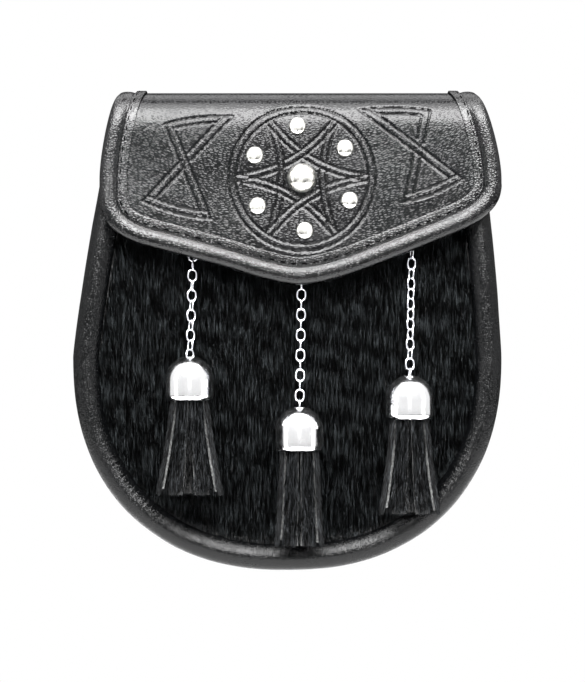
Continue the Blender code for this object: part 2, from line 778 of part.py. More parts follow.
def strip_corner(hanger, index, radius, outer, right, z):
    """A corner of strip index at height z: outer or inner face, right or left edge.

    Below the bell the strips flare, and they lean forward just enough to clear the rim.
    """
    around = 2 * math.pi * (index + 0.5) / STRIP_COUNT
    out = Vector((math.sin(around), -math.cos(around), 0.0))
    side = Vector((math.cos(around), math.sin(around), 0.0))
    flare = clamp((hanger.bell_z - BELL_HEIGHT - z) / STRIP_LENGTH) ** STRIP_FLARE
    reach_x = mix(radius, hanger.spread, flare)
    reach_y = mix(radius, min(hanger.spread, TASSEL_DEPTH_SHARE * BELL_RADIUS), flare)
    half = STRIP_WIDTH / 2 * min(reach_x, reach_y) / radius
    clear_y = crest_y(z) - 2 * GAP - STRIP_LEATHER / 2 - reach_y
    lean = min(0.0, clear_y - bell_axis(hanger)) * flare
    middle = Vector((out.x * reach_x, out.y * reach_y + lean, z))
    return middle + side * (half * right) + out * (STRIP_LEATHER / 2 * outer)


def make_tassel(hanger, material, collection):
    """Hide strips that hang from a wrapped head inside the bell, cut from one piece with it."""
    name = f"tassel_{hanger.side}"
    head_top = hanger.bell_z - EYE_DEPTH - EYE_RADIUS - EYE_STEM - GAP
    head_low = head_top - HEAD_HEIGHT
    radius = math.sqrt((mouth_radius() - 2 * GAP) ** 2 - (STRIP_WIDTH / 2) ** 2) - STRIP_LEATHER / 2
    bm = bmesh.new()
    bmesh.ops.create_cone(
        bm, cap_ends=True, segments=2 * STRIP_COUNT, radius1=radius, radius2=radius, depth=HEAD_HEIGHT
    )
    for vertex in bm.verts:
        around = math.atan2(vertex.co.x, -vertex.co.y) % (2 * math.pi)
        number = round(around / math.pi * STRIP_COUNT) % (2 * STRIP_COUNT)
        corner = strip_corner(hanger, number // 2, radius, 1, 2 * (number % 2) - 1, head_low)
        vertex.co = (corner.x, corner.y, head_top if vertex.co.z > 0 else head_low)
    base = min(bm.faces, key=lambda face: face.calc_center_median().z)
    ring = bmesh.ops.inset_region(bm, faces=[base], thickness=STRIP_LEATHER)["faces"]
    starts = []
    for face in ring:
        middle = face.calc_center_median()
        share = (math.atan2(middle.x, -middle.y) % (2 * math.pi)) / (2 * math.pi) * STRIP_COUNT
        if abs(share % 1 - 0.5) < 0.25:
            starts.append((int(share), face))
    for index, face in starts:
        out = strip_corner(hanger, index, radius, 0, 0, head_low).xy.to_3d().normalized()
        mouth = hanger.bell_z - BELL_HEIGHT
        length = STRIP_LENGTH * (1.0 - STRIP_SHORTENING * (index % 3))
        for step in range(STRIP_STEPS):
            z = mouth - length * step / (STRIP_STEPS - 1)
            face = bmesh.ops.extrude_discrete_faces(bm, faces=[face])["faces"][0]
            middle = face.calc_center_median()
            places = []
            for vertex in face.verts:
                offset = vertex.co - middle
                outer = math.copysign(1.0, offset.dot(out))
                right = math.copysign(1.0, offset.dot(out.cross(Vector((0.0, 0.0, -1.0)))))
                places.append(strip_corner(hanger, index, radius, outer, right, z))
            for vertex, place in zip(face.verts, places):
                vertex.co = place
    bmesh.ops.recalc_face_normals(bm, faces=bm.faces)
    bmesh.ops.translate(bm, verts=bm.verts, vec=(hanger.bell_x, bell_axis(hanger), 0.0))
    add_object(name, mesh_from(bm, name), material, collection)


def make_belt_loop(side, x, material, collection):
    """A leather loop on the back, its two feet sewn to the back panel."""
    foot_y = BACK_Y + GAP + LOOP_LEATHER / 2
    bulge_y = BACK_Y + BELT_TUNNEL + LOOP_LEATHER / 2
    half = BELT_LOOP_HEIGHT / 2
    tunnel = half - BELT_LOOP_FOOT - LOOP_LEATHER
    heights = (half, half - BELT_LOOP_FOOT, tunnel, -tunnel, BELT_LOOP_FOOT - half, -half)
    depths = (foot_y, foot_y, bulge_y, bulge_y, foot_y, foot_y)
    bm = bmesh.new()
    bmesh.ops.create_grid(bm, x_segments=1, y_segments=len(heights) - 1, size=1.0)
    for vertex in bm.verts:
        j = round((1 - vertex.co.y) / 2 * (len(heights) - 1))
        vertex.co = (x + BELT_LOOP_WIDTH / 2 * vertex.co.x, depths[j], heights[j])
    name = f"belt_loop_{side}"
    thicken(add_object(name, mesh_from(bm, name), material, collection), LOOP_LEATHER, 0.0)


def main():
    clear_scene()
    parts = add_collection("Sporran pouch")
    cutters = add_collection("Cutters")
    calf = add_material("Black grained leather", (0.030, 0.030, 0.032), 0.42)
    rim = add_material("Black rim leather", (0.016, 0.016, 0.018), 0.40)
    binding = add_material("Black binding leather", (0.018, 0.018, 0.020), 0.38)
    plain = add_material("Plain back leather", (0.020, 0.019, 0.018), 0.55)
    hide = add_material("Black hide", (0.006, 0.007, 0.009), 0.60)
    strips = add_material("Tassel hide", (0.010, 0.010, 0.011), 0.60)
    chrome = add_material("Chrome", (0.80, 0.80, 0.82), 0.08, 1.0)
    steel = add_material("Plain steel", (0.45, 0.45, 0.46), 0.30, 1.0)

    make_back_panel(plain, parts)
    make_gusset(rim, parts)
    make_fur_panel(hide, parts)
    make_flap(calf, parts)
    make_binding(binding, parts)
    make_studs(chrome, parts)
    make_press_stud(steel, parts)
    link = link_mesh()
    for hanger in HANGERS:
        make_chain(hanger, link, chrome, parts, cutters)
        make_staple(hanger, steel, parts)
        make_eye(hanger, steel, parts)
        make_bell(hanger, chrome, parts)
        make_tassel(hanger, strips, parts)
    make_belt_loop("left", -BELT_LOOP_X, plain, parts)
    make_belt_loop("right", BELT_LOOP_X, plain, parts)


main()
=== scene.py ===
"""Sporran pouch: what each piece looks like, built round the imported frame.

Sizes are metres, written as millimetres times MM, in the frame's own axes: X to the right, Z up, and
the front of the pouch faces -Y.
"""

import collections
import json
import math

import bpy
import numpy as np
from mathutils import Matrix, Vector

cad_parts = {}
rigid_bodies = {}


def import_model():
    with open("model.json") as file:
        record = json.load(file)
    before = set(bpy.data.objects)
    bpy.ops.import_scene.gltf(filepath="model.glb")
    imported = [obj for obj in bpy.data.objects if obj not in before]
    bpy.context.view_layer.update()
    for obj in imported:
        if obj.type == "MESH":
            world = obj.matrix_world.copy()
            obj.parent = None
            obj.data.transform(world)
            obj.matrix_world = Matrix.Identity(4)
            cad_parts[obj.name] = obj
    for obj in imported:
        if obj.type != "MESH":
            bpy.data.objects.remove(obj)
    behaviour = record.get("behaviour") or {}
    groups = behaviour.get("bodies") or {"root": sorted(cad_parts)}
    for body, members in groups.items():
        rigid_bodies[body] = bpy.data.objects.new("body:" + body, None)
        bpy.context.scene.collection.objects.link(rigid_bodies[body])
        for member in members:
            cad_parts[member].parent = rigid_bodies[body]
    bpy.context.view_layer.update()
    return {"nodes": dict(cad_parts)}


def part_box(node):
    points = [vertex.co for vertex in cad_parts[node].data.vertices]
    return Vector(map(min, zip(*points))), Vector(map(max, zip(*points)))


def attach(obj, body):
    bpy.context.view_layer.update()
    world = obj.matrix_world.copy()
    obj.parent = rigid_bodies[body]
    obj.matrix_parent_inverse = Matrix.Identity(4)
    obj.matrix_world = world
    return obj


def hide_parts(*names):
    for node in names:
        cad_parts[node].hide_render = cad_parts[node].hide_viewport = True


for start_object in list(bpy.data.objects):
    bpy.data.objects.remove(start_object, do_unlink=True)
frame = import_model()

# Back panel
# The flat back that lies against the wearer: one sheet of plain black leather about 2.5 mm thick,
# cut to the pouch's outline and sewn to the gusset with a row of black thread just inside its edge.

MM = 0.001
BODY_HALF_WIDTH = 101.9 * MM
BODY_WIDEST_Z = -80.0 * MM
BODY_DROP = 101.5 * MM
BODY_ROUNDNESS = 2.27
BODY_NARROWING = 15.9 * MM
NARROWING_CURVE = 1.2
BODY_LEAN = -6.3 * MM
BODY_TOP_LEAN = -2.0 * MM
FLAP_TOP_Z = 45.0 * MM
BACK_LEATHER = 2.5 * MM
BACK_EDGE_INSET = 8.3 * MM
BACK_STITCH_INSET = 4.5 * MM
BACK_COLUMNS = 90
BACK_ROWS = 70
OUTLINE_STATIONS = 600
STITCH_LENGTH = 3.6 * MM
STITCH_PITCH = 5.2 * MM
STITCH_TAPER = 0.45
STITCH_DIP = 0.55
STITCH_SINK = 0.25
THREAD = 0.9 * MM
back_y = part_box("back_panel")[1].y
back_top_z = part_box("back_panel")[1].z


def mix(low, high, share):
    return low + (high - low) * share


def share_of(value, low, high):
    return np.clip((value - low) / (high - low), 0.0, 1.0)


def unit(vectors):
    return vectors / np.linalg.norm(vectors, axis=-1)[..., None]


def travelled(path):
    """How far along an open path each of its points lies."""
    return np.concatenate([[0.0], np.cumsum(np.linalg.norm(np.diff(path, axis=0), axis=1))])


def value_at(path, distance, values):
    """What the values at a path's points come to at a distance along it."""
    return np.stack([np.interp(distance, travelled(path), column) for column in values.T], axis=-1)


def resample(path, count):
    """The same open path with count points at equal steps."""
    return value_at(path, np.linspace(0.0, travelled(path)[-1], count), path)


def inward(path):
    """Unit vectors to the inner side of a U drawn from its left top."""
    along = unit(np.gradient(path, axis=0))
    return np.stack([-along[:, 1], along[:, 0]], axis=1)


def body_centre(z):
    return mix(BODY_LEAN, BODY_TOP_LEAN, share_of(z, BODY_WIDEST_Z, FLAP_TOP_Z))


def body_half_width(z):
    return BODY_HALF_WIDTH - BODY_NARROWING * share_of(z, BODY_WIDEST_Z, FLAP_TOP_Z) ** NARROWING_CURVE


def moved_in(path, inset, top):
    """A U moved inwards, with its two ends still at the height top."""
    path = path + inward(path) * inset
    path[0, 1] = path[-1, 1] = top
    return path


def body_outline(top, inset=0.0):
    """The pouch's U, in (x, z), from its left top round the bottom to its right top."""
    heights = np.linspace(top, BODY_WIDEST_Z, OUTLINE_STATIONS // 10)[:-1]
    left = np.stack([body_centre(heights) - body_half_width(heights), heights], axis=1)
    right = np.stack([body_centre(heights) + body_half_width(heights), heights], axis=1)[::-1]
    angle = np.linspace(math.pi, 2 * math.pi, 181)
    power = 2 / BODY_ROUNDNESS
    x = np.sign(np.cos(angle)) * np.abs(np.cos(angle)) ** power
    z = np.abs(np.sin(angle)) ** power
    low = np.stack([BODY_LEAN + BODY_HALF_WIDTH * x, BODY_WIDEST_Z - BODY_DROP * z], axis=1)
    return moved_in(resample(np.vstack([left, low, right]), OUTLINE_STATIONS), inset, top)


def patch(path, columns, rows, levels=()):
    """A grid of flat points that fills a U: columns left to right, rows from its bottom to its top.

    Above the first of the levels, if there are any, the rows are straight and lie at the levels.
    """
    heading = np.arctan2(*np.diff(path, axis=0).T[::-1])
    left = int(np.argmax(heading > -math.pi / 4))
    right = len(heading) - int(np.argmax(heading[::-1] < math.pi / 4))
    top = levels[0] if len(levels) else path[0, 1]
    sides = []
    for side in (path[: left + 1][::-1], path[right:]):
        heights = np.concatenate([np.linspace(side[0, 1], top, rows + 1), levels[1:]])
        sides.append(np.stack([np.interp(heights, side[:, 1], side[:, 0]), heights], axis=1))
        sides[-1][0] = side[0]
    low = resample(path[left : right + 1], columns + 1)
    across = np.linspace(0.0, 1.0, columns + 1)[:, None, None]
    straight = mix(sides[0][None], sides[1][None], across)
    up = np.clip(1 - np.arange(straight.shape[1]) / rows, 0.0, 1.0)[None, :, None]
    return straight + up * (low[:, None] - straight[:, :1])


def pick(*pieces):
    """Selects these pieces alone; the last one is the active one."""
    bpy.ops.object.select_all(action="DESELECT")
    for piece in pieces:
        piece.select_set(True)
        bpy.context.view_layer.objects.active = piece


def bent_grid(name, places, **shades):
    """A grid with one vertex for each place, and attributes of the same layout by name."""
    pick()
    columns, rows = places.shape[:2]
    bpy.ops.mesh.primitive_grid_add(x_subdivisions=columns - 1, y_subdivisions=rows - 1, size=2.0)
    piece = bpy.context.object
    piece.name = piece.data.name = name
    flat = np.empty(len(piece.data.vertices) * 3)
    piece.data.vertices.foreach_get("co", flat)
    flat = (flat.reshape(-1, 3) + 1) / 2
    i = np.rint(flat[:, 0] * (columns - 1)).astype(int)
    j = np.rint(flat[:, 1] * (rows - 1)).astype(int)
    piece.data.vertices.foreach_set("co", places[i, j].ravel())
    for shade, values in shades.items():
        made = piece.data.attributes.new(shade, "FLOAT", "POINT")
        made.data.foreach_set("value", values[i, j].astype(np.float32))
    piece.data.update()
    return piece


def piece_from(name, corners, loops, starts):
    """A piece from its corners, each face corner's index among them and each face's first one."""
    mesh = bpy.data.meshes.new(name)
    for items, setting, values in (
        (mesh.vertices, "co", corners.reshape(-1, 3)),
        (mesh.loops, "vertex_index", loops.ravel().astype(np.int32)),
        (mesh.polygons, "loop_start", starts.ravel().astype(np.int32)),
    ):
        items.add(len(values))
        items.foreach_set(setting, values.ravel())
    mesh.update(calc_edges=True)
    piece = bpy.data.objects.new(name, mesh)
    bpy.context.scene.collection.objects.link(piece)
    return piece


def apply_modifier(piece, kind, **settings):
    modifier = piece.modifiers.new(kind, kind)
    for setting, value in settings.items():
        setattr(modifier, setting, value)
    bpy.context.view_layer.objects.active = piece
    bpy.ops.object.modifier_apply(modifier=modifier.name)


def round_edges(piece, width):
    corners = math.radians(60.0)
    apply_modifier(piece, "BEVEL", width=width, segments=2, limit_method="ANGLE", angle_limit=corners)


def close_up(piece, merge=0.002 * MM):
    """Merges what meets, fills the open ends and turns every face outwards."""
    pick(piece)
    bpy.ops.object.mode_set(mode="EDIT")
    bpy.ops.mesh.select_all(action="SELECT")
    bpy.ops.mesh.remove_doubles(threshold=merge)
    bpy.ops.mesh.fill_holes(sides=0)
    bpy.ops.mesh.select_all(action="SELECT")
    bpy.ops.mesh.normals_make_consistent(inside=False)
    bpy.ops.object.mode_set(mode="OBJECT")


def paint(piece, material):
    piece.data.materials.clear()
    piece.data.materials.append(material)


def put_on(piece, material, slot, *nodes, sharp=40.0):
    """Gives a finished piece its material and its place on the frame."""
    paint(piece, material)
    pick(piece)
    bpy.ops.object.shade_smooth_by_angle(angle=math.radians(sharp))
    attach(piece, "root")
    if nodes:
        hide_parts(*nodes)


def feed(tree, sockets, inputs):
    """Gives each socket its value, or links it to another node's output."""
    for socket, value in inputs.items():
        if isinstance(value, bpy.types.NodeSocket):
            tree.links.new(value, sockets[socket])
        else:
            sockets[socket].default_value = value


def add_node(tree, kind, inputs, output=0, **settings):
    """The output of a new shader node."""
    node = tree.nodes.new("ShaderNode" + kind)
    for setting, value in settings.items():
        setattr(node, setting, value)
    feed(tree, node.inputs, inputs)
    return node.outputs[output]


def maths(tree, operation, *inputs):
    return add_node(tree, "Math", dict(enumerate(inputs)), operation=operation)


def vector_maths(tree, operation, inputs):
    return add_node(tree, "VectorMath", inputs, operation=operation)


def ranged(tree, value, low, high, first, last, **settings):
    """A value from low to high brought to between first and last."""
    inputs = {"Value": value, "From Min": low, "From Max": high, "To Min": first, "To Max": last}
    return add_node(tree, "MapRange", inputs, **settings)


def noise(tree, place, scale, detail, roughness=0.5):
    inputs = {"Vector": place, "Scale": scale, "Detail": detail, "Roughness": roughness}
    return add_node(tree, "TexNoise", inputs, "Fac")


def blend(tree, share, first, second):
    """A colour between two, the second by its share."""
    return add_node(tree, "Mix", {0: share, 6: first, 7: second}, 2, data_type="RGBA")


def ramp(tree, share, dark, light, low=0.0, high=1.0):
    """A colour that goes from dark, at low, to light, at high."""
    colour = add_node(tree, "ValToRGB", {"Fac": share})
    for element, stop, shade in zip(colour.node.color_ramp.elements, (low, high), (dark, light)):
        element.position = stop
        element.color = (*shade, 1.0)
    return colour


def bump(tree, height, depth, strength=1.0):
    return add_node(tree, "Bump", {"Height": height, "Distance": depth, "Strength": strength})


def new_material(name, stretch=None):
    """A material, its tree, its shader's sockets and its piece's own coordinates, stretched if asked."""
    material = bpy.data.materials.new(name)
    material.use_nodes = True
    tree = material.node_tree
    place = add_node(tree, "TexCoord", {}, "Object")
    if stretch:
        place = add_node(tree, "Mapping", {"Vector": place, "Scale": stretch})
    return material, tree, tree.nodes["Principled BSDF"].inputs, place


def make_grain_group():
    """Leather grain: rounded pebbles parted by fine creases, with pores and a slow change of tone, and a
    crease mask that is used only for painted shade in the creases.
    """
    tree = bpy.data.node_groups.new("Leather grain", "ShaderNodeTree")
    tree.interface.new_socket("Vector", in_out="INPUT", socket_type="NodeSocketVector")
    tree.interface.new_socket("Pebbles per metre", in_out="INPUT", socket_type="NodeSocketFloat")
    for name in ("Height", "Crease shade", "Tone"):
        tree.interface.new_socket(name, in_out="OUTPUT", socket_type="NodeSocketFloat")
    given = tree.nodes.new("NodeGroupInput").outputs
    vector, pebbles = given["Vector"], given["Pebbles per metre"]
    wander = add_node(tree, "TexNoise", {"Vector": vector, "Scale": 260.0, "Detail": 2.0}, "Color")
    wander = vector_maths(tree, "SUBTRACT", {0: wander, 1: (0.5, 0.5, 0.5)})
    wander = vector_maths(tree, "SCALE", {0: wander, "Scale": 0.6 * MM})
    place = vector_maths(tree, "ADD", {0: vector, 1: wander})
    cells = {"Vector": place, "Scale": pebbles}
    edge = add_node(tree, "TexVoronoi", cells, "Distance", feature="DISTANCE_TO_EDGE")
    pores = noise(tree, place, maths(tree, "MULTIPLY", pebbles, 3.1), 3.0, 0.6)
    pebble = ranged(tree, edge, 0.0, 0.42, 0.0, 1.0, interpolation_type="SMOOTHSTEP")
    height = maths(tree, "ADD", maths(tree, "MULTIPLY", pebble, 0.72), maths(tree, "MULTIPLY", pores, 0.05))
    swell = maths(tree, "MULTIPLY", noise(tree, vector, 330.0, 1.0), 0.35)
    made = {
        "Height": maths(tree, "ADD", height, swell),
        # The crease mask only darkens the colour: painted shade between the pebbles.
        "Crease shade": ranged(tree, edge, 0.0, 0.22, 1.0, 0.0),
        "Tone": noise(tree, vector, 45.0, 4.0, 0.65),
    }
    feed(tree, tree.nodes.new("NodeGroupOutput").inputs, made)
    return tree


grain_group = make_grain_group()


def leather(name, dark, light, roughness, pebbles, depth, stretch=(1, 1, 1), fan=0.0, shine=0.2, groove_shade=None):
    """A leather material with painted shade in the creases between pebbles; its last argument names a mesh
    attribute, from 0 to 1, that marks the pressed, tooled grooves, which get painted shade too.
    """
    material, tree, shader, place = new_material(name)
    across = add_node(tree, "SeparateXYZ", {"Vector": place}, "X")
    turn = maths(tree, "MULTIPLY", across, fan)
    place = add_node(tree, "VectorRotate", {"Vector": place, "Angle": turn}, rotation_type="Y_AXIS")
    place = add_node(tree, "Mapping", {"Vector": place, "Scale": stretch})
    inputs = {"Vector": place, "Pebbles per metre": pebbles}
    height, crease_shade, tone = add_node(tree, "Group", inputs, node_tree=grain_group).node.outputs
    base = blend(tree, tone, (*dark, 1.0), (*light, 1.0))
    # Painted shade: the creases between pebbles are darkened to a fifth of the dark tone.
    base = blend(tree, crease_shade, base, (*(0.2 * part for part in dark), 1.0))
    if groove_shade:
        groove_shade_mask = add_node(tree, "Attribute", {}, "Fac", attribute_name=groove_shade)
        # Painted shade: the tooled grooves are darkened to a third of the dark tone.
        base = blend(tree, groove_shade_mask, base, (*(0.3 * part for part in dark), 1.0))
    values = {
        "Base Color": base,
        "Roughness": ranged(tree, tone, 0.3, 0.7, roughness - 0.05, roughness + 0.07),
        "Normal": bump(tree, height, depth),
        "Specular IOR Level": shine,
    }
    feed(tree, shader, values)
    return material


def thread_material():
    """Waxed black thread: fine strands twisted along it, coloured darker than black thread is, as painted
    shade from the stitch holes it lies in.
    """
    material, tree, shader, place = new_material("Black waxed thread with painted hole shade")
    strands = noise(tree, place, 3200.0, 2.0)
    values = {
        # Painted shade: the thread's colour, almost nil, stands in for the shadow in its stitch holes.
        "Base Color": ramp(tree, strands, (0.0001, 0.0001, 0.0001), (0.0008, 0.0008, 0.001)),
        "Normal": bump(tree, strands, 0.2 * MM, 0.8),
        "Roughness": 0.9,
        "Specular IOR Level": 0.01,
    }
    feed(tree, shader, values)
    return material


def one_stitch():
    """One stitch along X: a short fat thread whose two ends dip into the leather."""
    pick()
    bpy.ops.mesh.primitive_cylinder_add(
        vertices=6, radius=THREAD / 2, depth=STITCH_LENGTH, rotation=(0.0, math.pi / 2, 0.0)
    )
    stitch = bpy.context.object
    bpy.ops.object.transform_apply(location=True, rotation=True, scale=True)
    bpy.ops.object.mode_set(mode="EDIT")
    for x in (-STITCH_LENGTH / 4, STITCH_LENGTH / 4):
        bpy.ops.mesh.select_all(action="SELECT")
        bpy.ops.mesh.bisect(plane_co=(x, 0.0, 0.0), plane_no=(1.0, 0.0, 0.0))
    bpy.ops.object.mode_set(mode="OBJECT")
    for vertex in stitch.data.vertices:
        reach = abs(vertex.co.x) / (STITCH_LENGTH / 2)
        vertex.co.yz *= 1.0 - STITCH_TAPER * reach**3
        vertex.co.z -= STITCH_DIP * THREAD * reach**2
    mesh = stitch.data
    bpy.data.objects.remove(stitch)
    return mesh


def many_from(name, mesh, frames):
    """One mesh with a copy of the given mesh at each 4 x 4 frame."""
    corners = np.array([vertex.co for vertex in mesh.vertices])
    turned_corners = np.einsum("nij,vj->nvi", frames[:, :3, :3], corners) + frames[:, None, :3, 3]
    loops = np.array([loop.vertex_index for loop in mesh.loops])
    starts = np.array([face.loop_start for face in mesh.polygons])
    shift = np.arange(len(frames))[:, None]
    return piece_from(name, turned_corners, loops + shift * len(corners), starts + shift * len(loops))


def stitch_row(name, line, out):
    """Stitches at even steps along a line of points, with the leather's outward direction at each."""
    middles = np.arange(STITCH_PITCH / 2, travelled(line)[-1], STITCH_PITCH)
    low, high = (value_at(line, middles + end, line) for end in (-STITCH_LENGTH / 3, STITCH_LENGTH / 3))
    up = value_at(line, middles, out)
    along = unit(high - low)
    side = unit(np.cross(up, along))
    frames = np.tile(np.eye(4), (len(middles), 1, 1))
    middle = (low + high) / 2 - up * STITCH_SINK * THREAD
    frames[:, :3] = np.stack([along, side, np.cross(along, side), middle], axis=-1)
    return many_from(name, stitch_mesh, frames)


plain_leather = leather(
    "Plain black back leather", (0.010, 0.0095, 0.009), (0.018, 0.017, 0.016), 0.5, 1500.0, 0.12 * MM
)
thread = thread_material()
stitch_mesh = one_stitch()

back_grid = patch(body_outline(back_top_z, BACK_EDGE_INSET), BACK_COLUMNS, BACK_ROWS)
back_places = np.insert(back_grid, 1, back_y, axis=-1)
back_panel = bent_grid("back_panel_leather", back_places[:, ::-1])
apply_modifier(back_panel, "SOLIDIFY", thickness=BACK_LEATHER, offset=-1.0)
round_edges(back_panel, 0.5 * MM)
put_on(back_panel, plain_leather, "plain_leather", "back_panel")

back_line = np.insert(body_outline(back_top_z, BACK_EDGE_INSET + BACK_STITCH_INSET), 1, back_y, axis=-1)
back_out = np.tile([0.0, 1.0, 0.0], (len(back_line), 1))
put_on(stitch_row("back_stitches", back_line, back_out), thread, "plain_leather")

# Side gusset with its padded rim
# One strip of fine-grained black leather makes the pouch's sides and is turned over a padding cord at
# the front, which gives the fat rim. It gathers into small pleats where the rim turns the low corners.

DEPTH = 43.5 * MM
TOP_DEPTH = 36.0 * MM
DEPTH_RUN = 110.0 * MM
RIM_WIDTH = 12.0 * MM
RIM_DEPTH = 11.0 * MM
GUSSET_INSET = 6.0 * MM
GUSSET_LEATHER = 2.2 * MM
GUSSET_STATIONS = 820
PLEAT_PITCH = 2.6 * MM
PLEAT_DEPTH = 0.45 * MM
PLAIN_PLEATS = 0.12
CORNER_ANGLE = 0.75
CORNER_SPREAD = 0.45
HAND_PITCH = 60.0 * MM
HAND_DEPTH = 0.25 * MM
gusset_top_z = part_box("side_gusset")[1].z
gusset_back_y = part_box("side_gusset")[1].y

# Side wall from the back to the rim: inset as a share of GUSSET_INSET, share of the way
WALL_SHARES = ((1.0, 0.0), (0.86, 0.17), (0.76, 0.33), (0.69, 0.5), (0.66, 0.67), (0.67, 0.85))
# Rim from the wall over its crest to the hide: shares of its width and of its depth from the crest
RIM_SHARES = (
    (0.36, 1.0),
    (0.12, 0.86),
    (0.0, 0.52),
    (0.11, 0.20),
    (0.45, 0.0),
    (0.79, 0.13),
    (1.0, 0.42),
    (0.97, 0.72),
    (0.55, 1.0),
)


def crest_y(z):
    """How far forward the rim stands at height z."""
    share = share_of(FLAP_TOP_Z - z, 0.0, DEPTH_RUN)
    return gusset_back_y - mix(TOP_DEPTH, DEPTH, share * (2 - share))


def smooth_through(points, steps):
    """Points along a smooth open curve through the given ones."""
    points = np.asarray(points, float)
    padded = np.vstack([2 * points[0] - points[1], points, 2 * points[-1] - points[-2]])
    t = (np.arange(steps) / steps)[:, None]
    curve = []
    for a, b, c, d in zip(padded, padded[1:], padded[2:], padded[3:]):
        straight = 2 * b + (c - a) * t
        curve.append(0.5 * (straight + (2 * a - 5 * b + 4 * c - d) * t**2 + (3 * b - a - 3 * c + d) * t**3))
    return np.vstack([*curve, points[-1:]])


def rim_section():
    """(inset, share of the side wall, share of the rim's depth from its crest) round the gusset."""
    wall = [(GUSSET_INSET * inset, share, 0.0) for inset, share in WALL_SHARES]
    rim = [(RIM_WIDTH * inset, 1.0, 1.0 - depth) for inset, depth in smooth_through(RIM_SHARES, 6)]
    inner = [(inset + GUSSET_LEATHER, share, 0.0) for inset, share, _ in wall[::-1]]
    return np.array(wall + rim + inner).T


def ripple(distance, pitch, seed):
    """A slow, uneven wave along a seam, from -1 to 1."""
    generator = np.random.default_rng(seed)
    waves = [
        np.sin(2 * math.pi * distance / (pitch * stretch) + generator.uniform(0.0, 6.3))
        for stretch in (1.0, 1.37, 0.71)
    ]
    return sum(waves) / 3


def closed_ring(places):
    """The same grid of places with its first row again at its end."""
    return np.concatenate([places, places[:, :1]], axis=1)


gusset_path = resample(body_outline(gusset_top_z), GUSSET_STATIONS)
gusset_side = inward(gusset_path)
gusset_run = travelled(gusset_path)
section_inset, section_wall, section_rim = rim_section()
on_rim = section_wall >= 1.0
rim_angle = np.arctan2(gusset_path[:, 1] - BODY_WIDEST_Z, gusset_path[:, 0] - BODY_LEAN)
from_corner = (np.abs(rim_angle + math.pi / 2) - CORNER_ANGLE) / CORNER_SPREAD
corner_share = np.exp(-(from_corner**2)) * (rim_angle < 0)
inner_share = share_of(section_inset / RIM_WIDTH, 0.55, 0.98) * on_rim
pleat = ripple(gusset_run, PLEAT_PITCH, 3) * (PLAIN_PLEATS + corner_share)
hand = ripple(gusset_run, HAND_PITCH, 5)[:, None] * HAND_DEPTH
crest = crest_y(gusset_path[:, 1])[:, None]
wall_y = mix(gusset_back_y, crest + RIM_DEPTH, section_wall)
section_y = np.where(on_rim, crest + RIM_DEPTH * (1.0 - section_rim), wall_y)
section_y += on_rim * hand * 0.5 + PLEAT_DEPTH * pleat[:, None] * inner_share
inset = section_inset + on_rim * share_of(section_rim, 0.2, 0.6) * np.maximum(0.0, hand)
gusset_flat = gusset_path[:, None] + gusset_side[:, None] * inset[..., None]
rim_leather = leather(
    "Fine black rim leather",
    (0.0008, 0.0009, 0.001),
    (0.002, 0.0022, 0.0025),
    0.25,
    1000.0,
    0.14 * MM,
    shine=0.15,
)
gusset_places = np.stack([gusset_flat[..., 0], section_y, gusset_flat[..., 1]], axis=-1)
gusset = bent_grid("side_gusset_leather", closed_ring(gusset_places))
close_up(gusset)
put_on(gusset, rim_leather, "rim_leather", "side_gusset", sharp=50.0)

# Hide front
# A panel of black hair-on hide fills the front inside the rim. Its short hair lies straight down the
# pouch in close, uneven locks and runs out into the groove beside the rim.

FUR_RECESS = 7.0 * MM
FUR_DOME = 1.0 * MM
FUR_LEATHER = 2.5 * MM
FUR_EDGE = 0.3 * MM
FUR_CELLS = 60
HAIR_COUNT = 112000
HAIR_PIECES = 3
HAIR_LENGTH = 8.5 * MM
HAIR_WIDTH = 0.33 * MM
HAIR_RISE = 1.3 * MM
HAIR_ROOT = 0.12 * MM
HAIR_TOP_Z = -2.0 * MM
fur_top_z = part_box("fur_panel")[1].z


def fur_y(x, z):
    """The hide's front face, slightly domed."""
    across = np.clip(np.abs(x - body_centre(z)) / BODY_HALF_WIDTH, 0.0, 1.0)
    down = share_of(BODY_WIDEST_Z - z, 0.0, BODY_DROP)
    return crest_y(z) + FUR_RECESS - FUR_DOME * (1 - across**2) * (1 - down**2)


def slow_noise(x, z, pitch, seed):
    """Smooth unevenness over the flat of the pouch, from about -1 to 1."""
    generator = np.random.default_rng(seed)
    total = np.zeros_like(x)
    for _ in range(6):
        heading = generator.uniform(0.0, math.pi)
        turn = 2 * math.pi / (pitch * generator.uniform(0.7, 1.5))
        total += np.sin((x * math.cos(heading) + z * math.sin(heading)) * turn + generator.uniform(0.0, 6.3))
    return total / 3


def hair_bodies(name, root, along, out, length, width, lift, tone):
    """Hairs as closed needles of four faces: a flat three-sided root and one tip, with a tone for each."""
    side = unit(np.cross(out, along)) * width[:, None] / 2
    low = root - out * HAIR_ROOT
    tip = root + along * length[:, None] + out * lift[:, None]
    corners = np.stack([low - side, low + side, root + out * width[:, None] * 0.45, tip], axis=1)
    faces = np.array([[0, 1, 2], [1, 0, 3], [2, 1, 3], [0, 2, 3]])
    loops = faces[None] + 4 * np.arange(len(root))[:, None, None]
    piece = piece_from(name, corners, loops, np.arange(0, loops.size, 3))
    shade = piece.data.attributes.new("tone", "FLOAT", "POINT")
    shade.data.foreach_set("value", np.repeat(tone, 4).astype(np.float32))
    return piece


